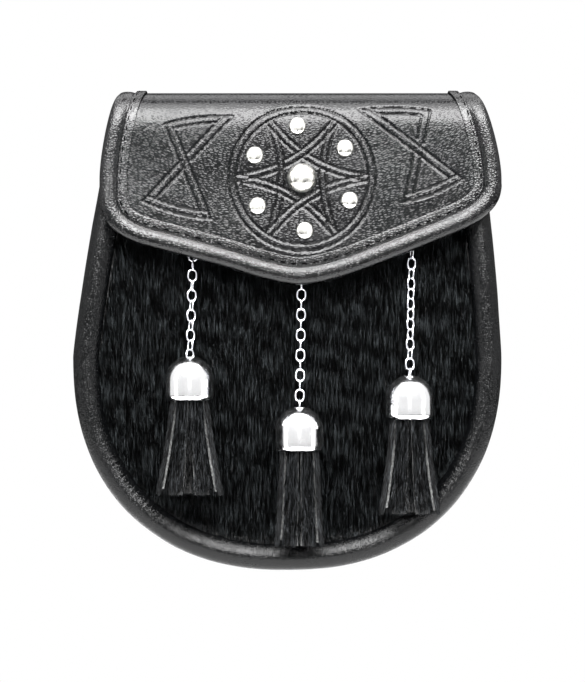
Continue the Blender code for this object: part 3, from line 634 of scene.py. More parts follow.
def hair_material(name, dark, light, roughness):
    """Hair: each one's own tone, broken up by fine streaks down the pouch; the light colour, on few hairs and
    in the streaks, is partly painted sheen highlight, and the near black between is partly painted shade
    among the hairs.
    """
    material, tree, shader, place = new_material(name, (1.0, 1.0, 0.09))
    tone = add_node(tree, "Attribute", {}, "Fac", attribute_name="tone")
    streaks = ranged(tree, noise(tree, place, 1300.0, 3.0), 0.45, 0.64, 0.0, 2.4)
    values = {
        # Painted sheen and shade: light hairs and streaks stand in for highlights on the hair, the near black
        # between for shade among the hairs.
        "Base Color": ramp(tree, maths(tree, "MULTIPLY", tone, streaks), dark, light, high=0.8),
        "Roughness": ranged(tree, tone, 0.0, 1.0, roughness + 0.1, roughness - 0.05),
        "Specular IOR Level": 0.05,
    }
    feed(tree, shader, values)
    return material


def hide_material():
    """The hide under the hair: near black, streaked down the pouch."""
    material, tree, shader, place = new_material("Black hide under hair", (1.0, 1.0, 0.06))
    streaks = noise(tree, place, 2600.0, 2.0)
    values = {
        "Base Color": ramp(tree, streaks, (0.0001, 0.0001, 0.0001), (0.0010, 0.0012, 0.0014)),
        "Normal": bump(tree, streaks, 0.4 * MM),
        "Roughness": 0.6,
    }
    feed(tree, shader, values)
    return material


fur_grid = patch(body_outline(fur_top_z, RIM_WIDTH + FUR_EDGE), FUR_CELLS, FUR_CELLS)
hide = bent_grid("hide_front", np.insert(fur_grid, 1, fur_y(fur_grid[..., 0], fur_grid[..., 1]), axis=-1))
apply_modifier(hide, "SOLIDIFY", thickness=FUR_LEATHER, offset=-1.0)
put_on(hide, hide_material(), "hide", "fur_panel")

fur_edge = body_outline(HAIR_TOP_Z + HAIR_LENGTH, RIM_WIDTH + FUR_EDGE)
low_point = int(np.argmin(fur_edge[:, 1]))
lowest_z = fur_edge[low_point, 1]


def fur_sides(z):
    """Where the hide's left and right edges lie at the heights z."""
    left = np.interp(z, fur_edge[: low_point + 1, 1][::-1], fur_edge[: low_point + 1, 0][::-1])
    return left, np.interp(z, fur_edge[low_point:, 1], fur_edge[low_point:, 0])


generator = np.random.default_rng(11)
root_z = generator.uniform(lowest_z, HAIR_TOP_Z, 2 * HAIR_COUNT)
root_x = generator.uniform(fur_edge[:, 0].min(), fur_edge[:, 0].max(), 2 * HAIR_COUNT)
left_x, right_x = fur_sides(root_z)
inside = (root_x > left_x) & (root_x < right_x)
root_x, root_z = root_x[inside][:HAIR_COUNT], root_z[inside][:HAIR_COUNT]
count = len(root_x)
slant = 0.10 * slow_noise(root_x, root_z, 30 * MM, 1) + 0.09 * slow_noise(root_x, root_z, 7 * MM, 2)
slant += generator.normal(0.0, 0.07, count) + 0.08 * share_of(-root_x, 0.0, 90 * MM)
length = HAIR_LENGTH * generator.uniform(0.55, 1.1, count)
down_x, down_z = root_x + np.sin(slant) * length, root_z - np.cos(slant) * length
left_x, right_x = fur_sides(down_z)
past = np.maximum.reduce([left_x - down_x, down_x - right_x, lowest_z - down_z])
length *= 1.0 - 0.75 * share_of(past, 0.0, 5 * MM)
level = np.zeros(count)
root = np.stack([root_x, fur_y(root_x, root_z), root_z], axis=1)
along = np.stack([np.sin(slant), level, -np.cos(slant)], axis=1)
out = unit(np.stack([generator.normal(0.0, 0.35, count), level - 1.0, level], axis=1))
rise = HAIR_RISE * generator.uniform(0.45, 1.1, count) * (1 + 0.25 * slow_noise(root_x, root_z, 9 * MM, 7))
# Each hair's own tone, random and skewed so that only a few hairs are light: partly painted sheen highlight.
tone = np.clip(generator.beta(0.42, 3.9, count) + 0.12 * slow_noise(root_x, root_z, 12 * MM, 8), 0.0, 1.0)
fur_hair = hair_material("Black hide hair, tone and painted sheen", (0.00002, 0.00003, 0.00004), (0.030, 0.034, 0.036), 0.34)
for number in range(HAIR_PIECES):
    chosen = slice(number, None, HAIR_PIECES)
    width = HAIR_WIDTH * generator.uniform(0.6, 1.15, len(root_x[chosen]))
    shape = (values[chosen] for values in (root, along, out, length))
    hair = hair_bodies(f"hide_hair_{number + 1}", *shape, width, rise[chosen], tone[chosen])
    put_on(hair, fur_hair, "hide", sharp=80.0)

# Flap
# A thick black calf flap folded over the top of the pouch. Its pebbled face is tooled by hand: a double
# ring with interlaced bands in the middle and an hourglass in outline on each side.

GAP = 0.3 * MM
FLAP_LEATHER = 2.5 * MM
FLAP_BEND_RADIUS = 11.0 * MM
FLAP_HALF_WIDTH = 95.3 * MM
FLAP_WIDEST_Z = 5.0 * MM
FLAP_NARROWING = 9.9 * MM
FLAP_SIDE_CURVE = 1.6
FLAP_TOP_LEAN = -1.4 * MM
FLAP_TIP_DROP = 46.0 * MM
HEM_LENGTH = 12.0 * MM
ROLL_WIDTH = 8.2 * MM
ROLL_FRONT = 3.4 * MM
ROLL_BACK = 3.1 * MM
ROLL_TOP_SHARE = 0.55
FLAP_STATIONS = 800
FLAP_COLUMNS = 330
FLAP_ROWS = 118
TOOLED_ROWS = 16
TOOLED_RUN = 9.0 * MM
BEND_ROWS = 12
FLAP_BOW = 0.35 * MM
BOW_PITCH = 55.0 * MM
FOLD_EASE = 9.0 * MM
FOLD_PUFF = 1.3 * MM
FOLD_SAMPLES = 7
FLAP_FLARE = 1.8 * MM
CALF_FAN = 3.4
# Lower edge of the flap, left to right: shares of the flap's half width and of its tip's drop
FLAP_EDGE = (
    (-1.000, 0.08),
    (-0.995, 0.20),
    (-0.976, 0.30),
    (-0.930, 0.43),
    (-0.816, 0.567),
    (-0.565, 0.709),
    (-0.359, 0.828),
    (-0.190, 0.935),
    (0.000, 1.000),
    (0.203, 0.922),
    (0.431, 0.748),
    (0.659, 0.559),
    (0.850, 0.385),
    (0.942, 0.243),
    (0.985, 0.120),
    (1.000, 0.000),
)
# Tooled lines, across and up the flap's face
GROOVE_WIDTH = 0.68 * MM
GROOVE_DEPTH = 0.50 * MM
ROUNDEL_X = 0.7 * MM
ROUNDEL_Z = 4.5 * MM
RING_RADII = (34.8 * MM, 31.4 * MM)
BAND_COUNT = 6
BAND_HALF = 1.5 * MM
BAND_PULL = 3.9 * MM
BAND_CLEARANCE = 0.2 * MM
HOURGLASS_BAND = 3.3 * MM
HOURGLASS_BOW = 1.6 * MM
# Corners of the left and the right hourglass in millimetres: top left, top right, low right, low left
HOURGLASSES = (
    ((-64.7, 30.1), (-32.0, 34.1), (-42.5, -14.8), (-74.5, -6.5)),
    ((27.6, 37.4), (61.8, 37.1), (76.6, 4.0), (49.1, -6.9)),
)


def flap_front_y(z):
    return crest_y(z) - GAP - ROLL_BACK


BEND_Z = FLAP_TOP_Z - FLAP_LEATHER / 2 - FLAP_BEND_RADIUS
HEM_Y = gusset_back_y + GAP + FLAP_LEATHER / 2
QUARTER = FLAP_BEND_RADIUS * math.pi / 2
bend_y = flap_front_y(BEND_Z) + FLAP_BEND_RADIUS
bend_end = BEND_Z + QUARTER
top_end = bend_end + HEM_Y - FLAP_BEND_RADIUS - bend_y
back_end = top_end + QUARTER
hem_end = back_end + HEM_LENGTH


def flap_fold(x, s, lift):
    """Points of the folded flap and their outward directions: x across, s up the sheet, lift off it."""
    step = 0.01 * MM
    slope = (flap_front_y(s + step) - flap_front_y(s - step)) / (2 * step)
    front_turn, back_turn = (
        np.clip((s - start) / FLAP_BEND_RADIUS, 0.0, math.pi / 2) for start in (BEND_Z, top_end)
    )
    on_front = s <= BEND_Z
    turned_over = np.sin(back_turn) - np.cos(front_turn)
    over = FLAP_BEND_RADIUS * turned_over + np.clip(s, bend_end, top_end) - bend_end
    y = np.where(on_front, flap_front_y(np.minimum(s, BEND_Z)), bend_y + over)
    up = BEND_Z + FLAP_BEND_RADIUS * (np.sin(front_turn) - 1 + np.cos(back_turn))
    z = np.where(on_front, s, up) - np.maximum(0.0, s - back_end)
    y = y - FLAP_FLARE * share_of(-s, -10 * MM, 30 * MM) ** 1.5
    turn = front_turn + back_turn
    out_z = np.where(on_front, slope, np.sin(turn))
    out = unit(np.stack([np.zeros_like(y), np.where(on_front, -1.0, -np.cos(turn)), out_z], axis=-1))
    return np.stack([x, y, z], axis=-1) + out * lift[..., None], out


def flap_place(x, s, lift):
    """The same with the fold eased, because thick calf won't turn sharply: the mean over a short stretch."""
    x, s, lift = np.broadcast_arrays(np.asarray(x, float), s, lift)
    weights = np.cos(np.linspace(-1.2, 1.2, FOLD_SAMPLES))
    lift = lift + FOLD_PUFF * share_of(s, BEND_Z + 3 * MM, bend_end) * share_of(-s, -back_end, -top_end)
    folds = [flap_fold(x, s + reach, lift) for reach in np.linspace(-FOLD_EASE, FOLD_EASE, FOLD_SAMPLES)]
    places, outs = (sum(weight * part for weight, part in zip(weights, parts)) for parts in zip(*folds))
    return places / weights.sum(), unit(outs)


def flap_side(s, side):
    """The flap's left (-1) or right (1) edge: narrower and a little to the left near the top."""
    share = share_of(s, FLAP_WIDEST_Z, bend_end) ** FLAP_SIDE_CURVE
    x = side * (FLAP_HALF_WIDTH - FLAP_NARROWING * share) + FLAP_TOP_LEAN * share
    return np.stack([x, s], axis=1)


def flap_outline(top, inset=0.0):
    """The flap's edge on the flat sheet, from its left top round the tip to its right top."""
    edge = [(across * FLAP_HALF_WIDTH, -down * FLAP_TIP_DROP) for across, down in FLAP_EDGE]
    heights = np.linspace(top, FLAP_WIDEST_Z / 2, 60)
    left, right = flap_side(heights, -1), flap_side(heights, 1)[::-1]
    low = smooth_through(np.vstack([left[-1:], edge, right[:1]]), 8)
    return moved_in(resample(np.vstack([left[:-1], low, right[1:]]), FLAP_STATIONS), inset, top)


def distance_to(points, line):
    """Distance of each flat point to a line of points."""
    nearest = np.full(len(points), np.inf)
    for start, end in zip(line[:-1], line[1:]):
        along = end - start
        share = np.clip((points - start) @ along / (along @ along), 0.0, 1.0)
        nearest = np.minimum(nearest, np.linalg.norm(points - start - share[:, None] * along, axis=1))
    return nearest


def left_of(along):
    """The flat direction square to the left of another."""
    return np.array([-along[1], along[0]])


def round_point(centre, radius, angle):
    return centre + radius * np.array([math.cos(angle), math.sin(angle)])


def pressed(distance):
    """Depth of a tooled line as a share, at a distance from its middle."""
    return np.clip(1 - (distance / GROOVE_WIDTH) ** 2, 0.0, 1.0) ** 1.5


def roundel_depth(points):
    """The double ring and the bands woven inside it, each under the next one."""
    centre = np.array([ROUNDEL_X, ROUNDEL_Z])
    from_centre = np.linalg.norm(points - centre, axis=1)
    depth = np.maximum.reduce([pressed(np.abs(from_centre - radius)) for radius in RING_RADII])
    t = np.linspace(0.0, 1.0, 40)[:, None]
    bands = []
    for middle in np.radians(60.0 * np.arange(1, BAND_COUNT + 1)):
        turns = (middle - math.pi / 3, middle + math.pi / 3)
        start, end = (round_point(centre, RING_RADII[1], turn) for turn in turns)
        pull = round_point(centre, BAND_PULL, middle)
        bands.append(distance_to(points, (1 - t) ** 2 * start + 2 * t * (1 - t) * pull + t**2 * end))
    inside = from_centre < RING_RADII[1]
    for under, over in zip(bands, bands[1:] + bands[:1]):
        edges = pressed(np.abs(under - BAND_HALF)) * (over > BAND_HALF + BAND_CLEARANCE) * inside
        depth = np.maximum(depth, edges)
    return depth


def hourglass_depth(points, corners):
    """An hourglass of double lines: one diagonal band passes over the other, and the two ends are bowed."""
    top_left, top_right, low_right, low_left = (np.array(corner) * MM for corner in corners)
    over, under = unit(low_right - top_left), unit(low_left - top_right)
    over_side, under_side = left_of(over) * HOURGLASS_BAND, -left_of(under) * HOURGLASS_BAND
    over_share = (points - top_left) @ over_side / HOURGLASS_BAND**2
    under_share = (points - top_right) @ under_side / HOURGLASS_BAND**2

    def band(start, end, way, side):
        shift = side + way * 1.1 * HOURGLASS_BAND
        lines = (np.array([start, end - shift]), np.array([start + shift, end]))
        return np.maximum.reduce([pressed(distance_to(points, line)) for line in lines])

    clear = (over_share < -0.05) | (over_share > 1.05)
    under_band = band(top_right, low_left, under, under_side) * clear
    depth = np.maximum(band(top_left, low_right, over, over_side), under_band)
    inside_top = (over_share > 1) & (under_share > 1)
    inside_low = (over_share < 0) & (under_share < 0)
    t = np.linspace(0.0, 1.0, 14)[:, None]
    for first, second, inside in ((top_left, top_right, inside_top), (low_right, low_left, inside_low)):
        out = left_of(unit(second - first))
        end = first + (second - first) * t + out * HOURGLASS_BOW * 4 * t * (1 - t)
        depth = np.maximum(depth, pressed(distance_to(points, end)))
        depth = np.maximum(depth, pressed(distance_to(points, end - out * HOURGLASS_BAND)) * inside)
    return depth


tooled_levels = np.linspace(BEND_Z, BEND_Z + TOOLED_RUN, TOOLED_ROWS + 1)
flap_levels = np.concatenate([tooled_levels, np.linspace(tooled_levels[-1], hem_end, BEND_ROWS + 1)[1:]])
flap_grid = patch(flap_outline(hem_end, ROLL_WIDTH + GAP), FLAP_COLUMNS, FLAP_ROWS, flap_levels)
flat_points = flap_grid.reshape(-1, 2)
tooling = [roundel_depth(flat_points), *(hourglass_depth(flat_points, corners) for corners in HOURGLASSES)]
tooling = np.maximum.reduce(tooling).reshape(flap_grid.shape[:2])
flap_x, flap_s = flap_grid[..., 0], flap_grid[..., 1]
wave = FLAP_BOW * slow_noise(flap_x, flap_s, BOW_PITCH, 21) * share_of(BEND_Z - flap_s, -QUARTER, QUARTER)
flap_places, _ = flap_place(flap_x, flap_s, FLAP_LEATHER / 2 + wave - GROOVE_DEPTH * tooling)
# The tooled attribute marks the grooves, which the calf material darkens with painted shade.
flap = bent_grid("flap_leather", flap_places, tooled=tooling)
apply_modifier(flap, "SOLIDIFY", thickness=FLAP_LEATHER, offset=-1.0)
calf = leather(
    "Pebbled black calf",
    (0.0008, 0.0008, 0.001),
    (0.0035, 0.0035, 0.0042),
    0.20,
    720.0,
    0.09 * MM,
    stretch=(0.72, 1.0, 1.4),
    shine=0.18,
    fan=CALF_FAN,
    groove_shade="tooled",
)
put_on(flap, calf, "flap_leather", "flap")

# Binding round the flap
# A strip of black leather rolled over a cord along the flap's edge. Its flange lies on the flap's face
# and is sewn through with waxed black thread.

FLANGE_WIDTH = 5.0 * MM
FLANGE_LEATHER = 0.8 * MM
FLANGE_STITCH_INSET = 9.8 * MM
BINDING_STATIONS = 420
BINDING_UNEVENNESS = 0.05
binding_end = top_end + QUARTER * 2 / 3
face = FLAP_LEATHER / 2 + GAP
# Roll from the flange over the front to the back: share of its width, share of its front or back depth
ROLL_OVER = ((0.93, 0.72), (0.72, 0.95), (0.38, 1.0), (0.10, 0.68), (0.0, 0.0))
ROLL_UNDER = ((0.09, -0.62), (0.35, -1.0), (0.70, -0.95), (0.97, -0.55))
# Flange from its outer edge back to the roll: share of its width, share of its leather
FLANGE_SHARES = (
    (0.98, 0.0),
    (1.0, 0.4),
    (0.97, 0.9),
    (0.90, 1.0),
    (0.55, 0.98),
    (0.38, 0.94),
    (0.24, 0.90),
    (0.12, 0.92),
)


def binding_section(roll_front):
    """(inset, lift) round the binding: the rolled edge, then the flange that lies on the flap."""
    roll = [(1.02 * ROLL_WIDTH, face + 0.45 * FLANGE_LEATHER)]
    roll += [(across * ROLL_WIDTH, depth * roll_front) for across, depth in ROLL_OVER]
    roll += [(across * ROLL_WIDTH, depth * ROLL_BACK) for across, depth in ROLL_UNDER]
    flange = [
        (ROLL_WIDTH + across * FLANGE_WIDTH, face + depth * FLANGE_LEATHER) for across, depth in FLANGE_SHARES
    ]
    return np.vstack([smooth_through([*roll, (ROLL_WIDTH, face)], 4), flange])


def binding_frames(inset_line):
    """Flat points along the binding at an inset, square to the edge on the front and level at the bend."""
    path = resample(flap_outline(binding_end), BINDING_STATIONS)
    level = share_of(path[:, 1], FLAP_WIDEST_Z, BEND_Z)[:, None]
    square = np.stack([-np.sign(path[:, 0]), np.zeros(len(path))], axis=1)
    side = mix(inward(path), square, level)
    return path[:, None, :] + side[:, None, :] * np.atleast_1d(inset_line)[None, :, None]


section = binding_section(ROLL_FRONT)
top_section = binding_section(ROLL_FRONT * ROLL_TOP_SHARE)
binding_flat = binding_frames(section[:, 0])
top_share = share_of(binding_flat[:, :1, 1], BEND_Z, bend_end)
run = np.linspace(0.0, 300 * MM, BINDING_STATIONS)[:, None]
lift = mix(section[:, 1], top_section[:, 1], top_share) * (1 + BINDING_UNEVENNESS * ripple(run, 38 * MM, 13))
binding_places, _ = flap_place(binding_flat[..., 0], binding_flat[..., 1], lift)
binding = bent_grid("flap_binding_leather", closed_ring(binding_places))
close_up(binding)
binding_leather = leather(
    "Black binding leather",
    (0.0008, 0.0008, 0.001),
    (0.003, 0.003, 0.0035),
    0.24,
    850.0,
    0.13 * MM,
    shine=0.27,
)
put_on(binding, binding_leather, "binding_leather", "flap_binding", sharp=50.0)

stitch_flat = binding_frames(FLANGE_STITCH_INSET)[:, 0]
stitch_line, stitch_out = flap_place(stitch_flat[:, 0], stitch_flat[:, 1], face + 1.1 * FLANGE_LEATHER)
put_on(stitch_row("flap_stitches", stitch_line, stitch_out), thread, "binding_leather")

# Studs
# A large domed stud stands at the middle of the tooled ring with six small ones round it. Each is
# pressed nickel, chrome plated, and is riveted through the flap.

STUD_CIRCLE = 24.9 * MM
STUD_RADIUS = 4.1 * MM
STUD_HEIGHT = 2.4 * MM
STUD_ANGLES = (95.0, 35.0, -25.0, -87.0, -148.0, 154.0)
CENTRE_STUD_RADIUS = 7.0 * MM
CENTRE_STUD_HEIGHT = 6.4 * MM
STUD_SIDES = 40
STUD_SEAT = 0.05 * MM


def chrome_material(name, colour, roughness):
    """Bright plate with faint polishing marks."""
    material, tree, shader, place = new_material(name)
    marks = noise(tree, place, 420.0, 4.0)
    values = {
        "Base Color": blend(tree, marks, (*(0.94 * part for part in colour), 1.0), (*colour, 1.0)),
        "Roughness": ranged(tree, marks, 0.35, 0.75, roughness, roughness * 2.2),
        "Normal": bump(tree, marks, 0.02 * MM, 0.4),
        "Metallic": 1.0,
    }
    feed(tree, shader, values)
    return material


def turned(name, profile, sides, place, axis):
    """A piece turned from (radius, height) points, closed on its axis, with its foot at place."""
    pick()
    bpy.ops.mesh.primitive_circle_add(vertices=3, radius=MM)
    piece = bpy.context.object
    piece.name = piece.data.name = name
    piece.data.clear_geometry()
    edges = [(i, i + 1) for i in range(len(profile) - 1)]
    piece.data.from_pydata([(radius, 0.0, height) for radius, height in profile], edges, [])
    bpy.ops.object.mode_set(mode="EDIT")
    bpy.ops.mesh.select_all(action="SELECT")
    bpy.ops.mesh.spin(steps=sides, angle=2 * math.pi, center=(0.0, 0.0, 0.0), axis=(0.0, 0.0, 1.0))
    bpy.ops.object.mode_set(mode="OBJECT")
    close_up(piece)
    turn = Vector((0.0, 0.0, 1.0)).rotation_difference(Vector(axis)).to_matrix().to_4x4()
    piece.data.transform(Matrix.Translation(Vector(place)) @ turn)
    piece.data.update()
    return piece


def stud_profile(radius, height):
    """A dome that bulges over a narrow collar, from its crown down to its seat."""
    collar = 0.14 * height
    angles = np.linspace(0.0, math.pi / 2 + 0.45, 14)
    rise = collar + (height - collar) * np.cos(angles)
    dome = [(r, z) for r, z in zip(radius * np.sin(angles) ** 0.9, rise) if z > collar * 0.8]
    return [*dome, (0.93 * radius, 0.35 * collar), (0.93 * radius, 0.0), (0.0, 0.0)]


nickel = chrome_material("Satin nickel studs", (0.70, 0.69, 0.655), 0.2)
roundel_centre = np.array([ROUNDEL_X, ROUNDEL_Z])
stud_rows = [("centre_stud", roundel_centre, CENTRE_STUD_RADIUS, CENTRE_STUD_HEIGHT)]
for number, degrees in enumerate(STUD_ANGLES, 1):
    spot = round_point(roundel_centre, STUD_CIRCLE, math.radians(degrees))
    stud_rows.append((f"stud_{number}", spot, STUD_RADIUS, STUD_HEIGHT))
for name, (x, s), radius, height in stud_rows:
    seat, out_way = flap_place(x, s, FLAP_LEATHER / 2 + STUD_SEAT)
    stud = turned(f"{name}_dome", stud_profile(radius, height), STUD_SIDES, seat, out_way)
    put_on(stud, nickel, "chrome", name, sharp=50.0)

# Chains
# Three plated cable chains hang over the hide, each from a small wire staple behind the flap down to an
# eye inside its bell. Their oval links are made of 1 mm wire, each a quarter turn from the last.

LINK_PITCH = 4.83 * MM
LINK_WIDTH = 5.0 * MM
LINK_WIRE = 1.0 * MM
SEEN_WIRE = 0.84 * MM
LINK_BITE = 0.3 * MM
STAPLE_HALF_HEIGHT = 2.0 * MM
EYE_RADIUS = 1.9 * MM
EYE_WIRE = 0.9 * MM
EYE_DEPTH = 2.4 * MM
EYE_STEM = 2.2 * MM
BELL_RADIUS = 11.3 * MM
BELL_HEIGHT = 20.5 * MM
BELL_FUR_GAP = 0.5 * MM
CHAIN_LEAN = 1.6
CHAIN_STATIONS = 200

# Side; staple and bell across as shares of the body's half width; the bell's drop as a share of the flap
# tip's; links; twist at the end and in the middle in degrees; spread as a share of the bell's radius
Hanger = collections.namedtuple("Hanger", "side staple_x bell_x bell_z links end_twist mid_twist spread")
HANGER_SHARES = (
    Hanger("left", -0.501, -0.514, 1.741, 11, 40.0, 0.0, 1.239),
    Hanger("centre", 0.006, -0.005, 2.261, 14, 0.0, 0.0, 0.850),
    Hanger("right", 0.520, 0.506, 1.937, 14, 0.0, 42.0, 1.115),
)
HANGERS = tuple(
    row._replace(
        staple_x=row.staple_x * BODY_HALF_WIDTH,
        bell_x=row.bell_x * BODY_HALF_WIDTH,
        bell_z=-row.bell_z * FLAP_TIP_DROP,
        spread=row.spread * BELL_RADIUS,
    )
    for row in HANGER_SHARES
)
link_length = LINK_PITCH + 2 * LINK_WIRE - LINK_BITE


def hook_reach(radius, wire):
    return radius - (LINK_WIRE + wire) / 2 - GAP + (link_length - LINK_WIRE) / 2


def bell_axis(bell_x, bell_z):
    return float(fur_y(bell_x, bell_z - BELL_HEIGHT / 2)) - BELL_FUR_GAP - BELL_RADIUS


def chain_path(hanger):
    """The chain's line from the eye in the bell up to its staple, as long as its links."""
    low = np.array([hanger.bell_x, bell_axis(hanger.bell_x, hanger.bell_z), hanger.bell_z - EYE_DEPTH])
    hooks = hook_reach(EYE_RADIUS, EYE_WIRE) + hook_reach(STAPLE_HALF_HEIGHT, LINK_WIRE)
    wanted = hooks + (hanger.links - 1) * LINK_PITCH
    rise = wanted
    shares = np.linspace(0.0, 1.0, CHAIN_STATIONS)
    for _ in range(6):
        top_y = float(fur_y(hanger.staple_x, low[2] + rise)) - 2 * GAP - LINK_WIDTH / 2
        lean = mix(low[1], top_y, 1 - (1 - shares) ** CHAIN_LEAN)
        path = np.stack([mix(low[0], hanger.staple_x, shares), lean, low[2] + rise * shares], axis=1)
        rise *= wanted / travelled(path)[-1]
    return path


def link_frame(hanger, path, index):
    """The frame of one link, counted from the staple, a quarter turn and a little from the last one."""
    distance = hook_reach(EYE_RADIUS, EYE_WIRE) + (hanger.links - 1 - index) * LINK_PITCH
    steps = (0.0, -LINK_PITCH / 4, LINK_PITCH / 4)
    middle, low, high = (Vector(value_at(path, distance + step, path)) for step in steps)
    up = (high - low).normalized()
    share = (index + 1) / (hanger.links + 1)
    twist = hanger.end_twist * share + hanger.mid_twist * math.sin(math.pi * share)
    across = Vector((1.0, 0.0, 0.0))
    across = (across - up * across.dot(up)).normalized()
    turn = Matrix.Rotation(math.radians(90.0 * index + twist), 3, "Z")
    return Matrix.Translation(middle) @ (Matrix((across, -across.cross(up), up)).transposed() @ turn).to_4x4()


def one_link():
    """One oval link of round wire, standing in the XZ plane."""
    pick()
    bpy.ops.mesh.primitive_torus_add(
        major_segments=24,
        minor_segments=10,
        major_radius=(LINK_WIDTH - LINK_WIRE) / 2,
        minor_radius=SEEN_WIRE / 2,
        rotation=(math.pi / 2, 0.0, 0.0),
    )
    link = bpy.context.object
    bpy.ops.object.transform_apply(location=True, rotation=True, scale=True)
    for vertex in link.data.vertices:
        stretch = np.clip(vertex.co.z / (LINK_WIDTH / 5), -1.0, 1.0)
        vertex.co.z += float(stretch) * (link_length - LINK_WIDTH) / 2
    mesh = link.data
    bpy.data.objects.remove(link)
    return mesh


link_mesh = one_link()
steel = chrome_material("Plain steel wire", (0.55, 0.55, 0.56), 0.22)
chain_plate = chrome_material("Chain plate", (0.70, 0.71, 0.75), 0.12)
chrome = chrome_material("Bright chrome plate", (0.92, 0.92, 0.93), 0.11)
for hanger in HANGERS:
    path = chain_path(hanger)
    link_frames = np.array([link_frame(hanger, path, index) for index in range(hanger.links)])
    chain = many_from(f"chain_{hanger.side}_links", link_mesh, link_frames)
    put_on(chain, chain_plate, "chrome", f"chain_{hanger.side}", sharp=60.0)
    paint(frame["nodes"][f"chain_staple_{hanger.side}"], steel)
    paint(frame["nodes"][f"tassel_wire_{hanger.side}"], steel)
paint(frame["nodes"]["press_stud"], steel)

# Bells
# Each tassel hangs from a spun metal cap, chrome plated, with a small hole in its crown for the chain
# and a rolled lower lip. The cap hides the wire that binds the tassel's head.

BELL_WALL = 0.8 * MM
BELL_HOLE = 3.2 * MM
BELL_LIP_RADIUS = 3.0 * MM
BELL_LIP_TURN = math.radians(60.0)
BELL_SIDES = 64
bell_start = math.asin(BELL_HOLE / BELL_RADIUS)
bell_crown = BELL_RADIUS * math.cos(bell_start)
bell_low = BELL_LIP_RADIUS * math.sin(BELL_LIP_TURN) - BELL_HEIGHT


def bell_profile():
    """The cap's wall: crown, straight side and lip outside, and the same shape inside."""

    def crown(radius, angles):
        return zip(radius * np.sin(angles), radius * np.cos(angles) - bell_crown)

    turn = np.linspace(0.0, BELL_LIP_TURN, 8)
    lip = zip(BELL_RADIUS - BELL_LIP_RADIUS * (1 - np.cos(turn)), bell_low - BELL_LIP_RADIUS * np.sin(turn))
    outer = [*crown(BELL_RADIUS, np.linspace(bell_start, math.pi / 2, 22)), *lip]
    lip_x, lip_z = outer[-1]
    within = BELL_RADIUS - BELL_WALL
    rolled = [(lip_x - BELL_WALL / 2, lip_z - 0.1 * MM), (lip_x - BELL_WALL, lip_z), (within, bell_low)]
    return [*outer, *rolled, *crown(within, np.linspace(math.pi / 2, bell_start, 12)), outer[0]]


for side, _, bell_x, bell_z, *_ in HANGERS:
    place = (bell_x, bell_axis(bell_x, bell_z), bell_z)
    bell = turned(f"bell_{side}_cap", bell_profile(), BELL_SIDES, place, (0.0, 0.0, 1.0))
    put_on(bell, chrome, "chrome", f"bell_{side}", sharp=50.0)

# Tassels
# Each tassel is hair-on black hide cut into narrow strips, wired together at the head. The cut edges
# show as pale grey lines between the locks of hair.

STRIP_COUNT = 7
STRIP_LENGTH = 44.0 * MM
STRIP_WIDTH = 5.6 * MM
STRIP_LEATHER = 1.1 * MM
STRIP_ROWS = 16
STRIP_FLARE = 1.4
STRIP_SWAY = 0.5 * MM
HEAD_HEIGHT = 5.0 * MM
STRIP_HAIRS = 1150
TASSEL_HAIR_LENGTH = 11.0 * MM
TASSEL_HAIR_WIDTH = 0.34 * MM
TASSEL_HAIR_RISE = 1.5 * MM
TASSEL_HAIR_STRAY = 1.5 * MM
mouth_radius = BELL_RADIUS - BELL_LIP_RADIUS * (1 - math.cos(BELL_LIP_TURN)) - BELL_WALL
head_radius = math.sqrt((mouth_radius - 2 * GAP) ** 2 - (STRIP_WIDTH / 2) ** 2) - STRIP_LEATHER / 2


def strip_frame(hanger, index, z):
    """Middle, sideways and outward directions and half width of a strip at the heights z."""
    around = 2 * math.pi * (index + 0.5) / STRIP_COUNT
    out = np.array([math.sin(around), -math.cos(around), 0.0])
    side = np.array([math.cos(around), math.sin(around), 0.0])
    axis_y = bell_axis(hanger.bell_x, hanger.bell_z)
    flare = share_of(hanger.bell_z - BELL_HEIGHT - z, 0.0, STRIP_LENGTH) ** STRIP_FLARE
    reach_x = mix(head_radius, hanger.spread, flare)
    reach_y = mix(head_radius, min(hanger.spread, 0.8 * BELL_RADIUS), flare)
    half = STRIP_WIDTH / 2 * np.minimum(reach_x, reach_y) / head_radius
    clear_y = crest_y(z) - 2 * GAP - STRIP_LEATHER / 2 - reach_y
    lean = np.minimum(0.0, clear_y - axis_y) * flare
    middle = np.stack([hanger.bell_x + out[0] * reach_x, axis_y + out[1] * reach_y + lean, z], axis=-1)
    return middle, side, out, half


def edge_material():
    """Cut edges of the strips: raw grey hide, with the hair's dark roots over its faces."""
    material, tree, shader, place = new_material("Tassel hide with grey cut edges")
    edge = add_node(tree, "Attribute", {}, "Fac", attribute_name="cut_edge")
    fibres = noise(tree, place, 900.0, 4.0)
    raw = ramp(tree, fibres, (0.003, 0.003, 0.003), (0.055, 0.057, 0.056), 0.42, 0.62)
    values = {
        "Base Color": blend(tree, edge, (0.002, 0.002, 0.002, 1.0), raw),
        "Normal": bump(tree, fibres, 0.3 * MM, 0.8),
        "Roughness": 0.7,
    }
    feed(tree, shader, values)
    return material


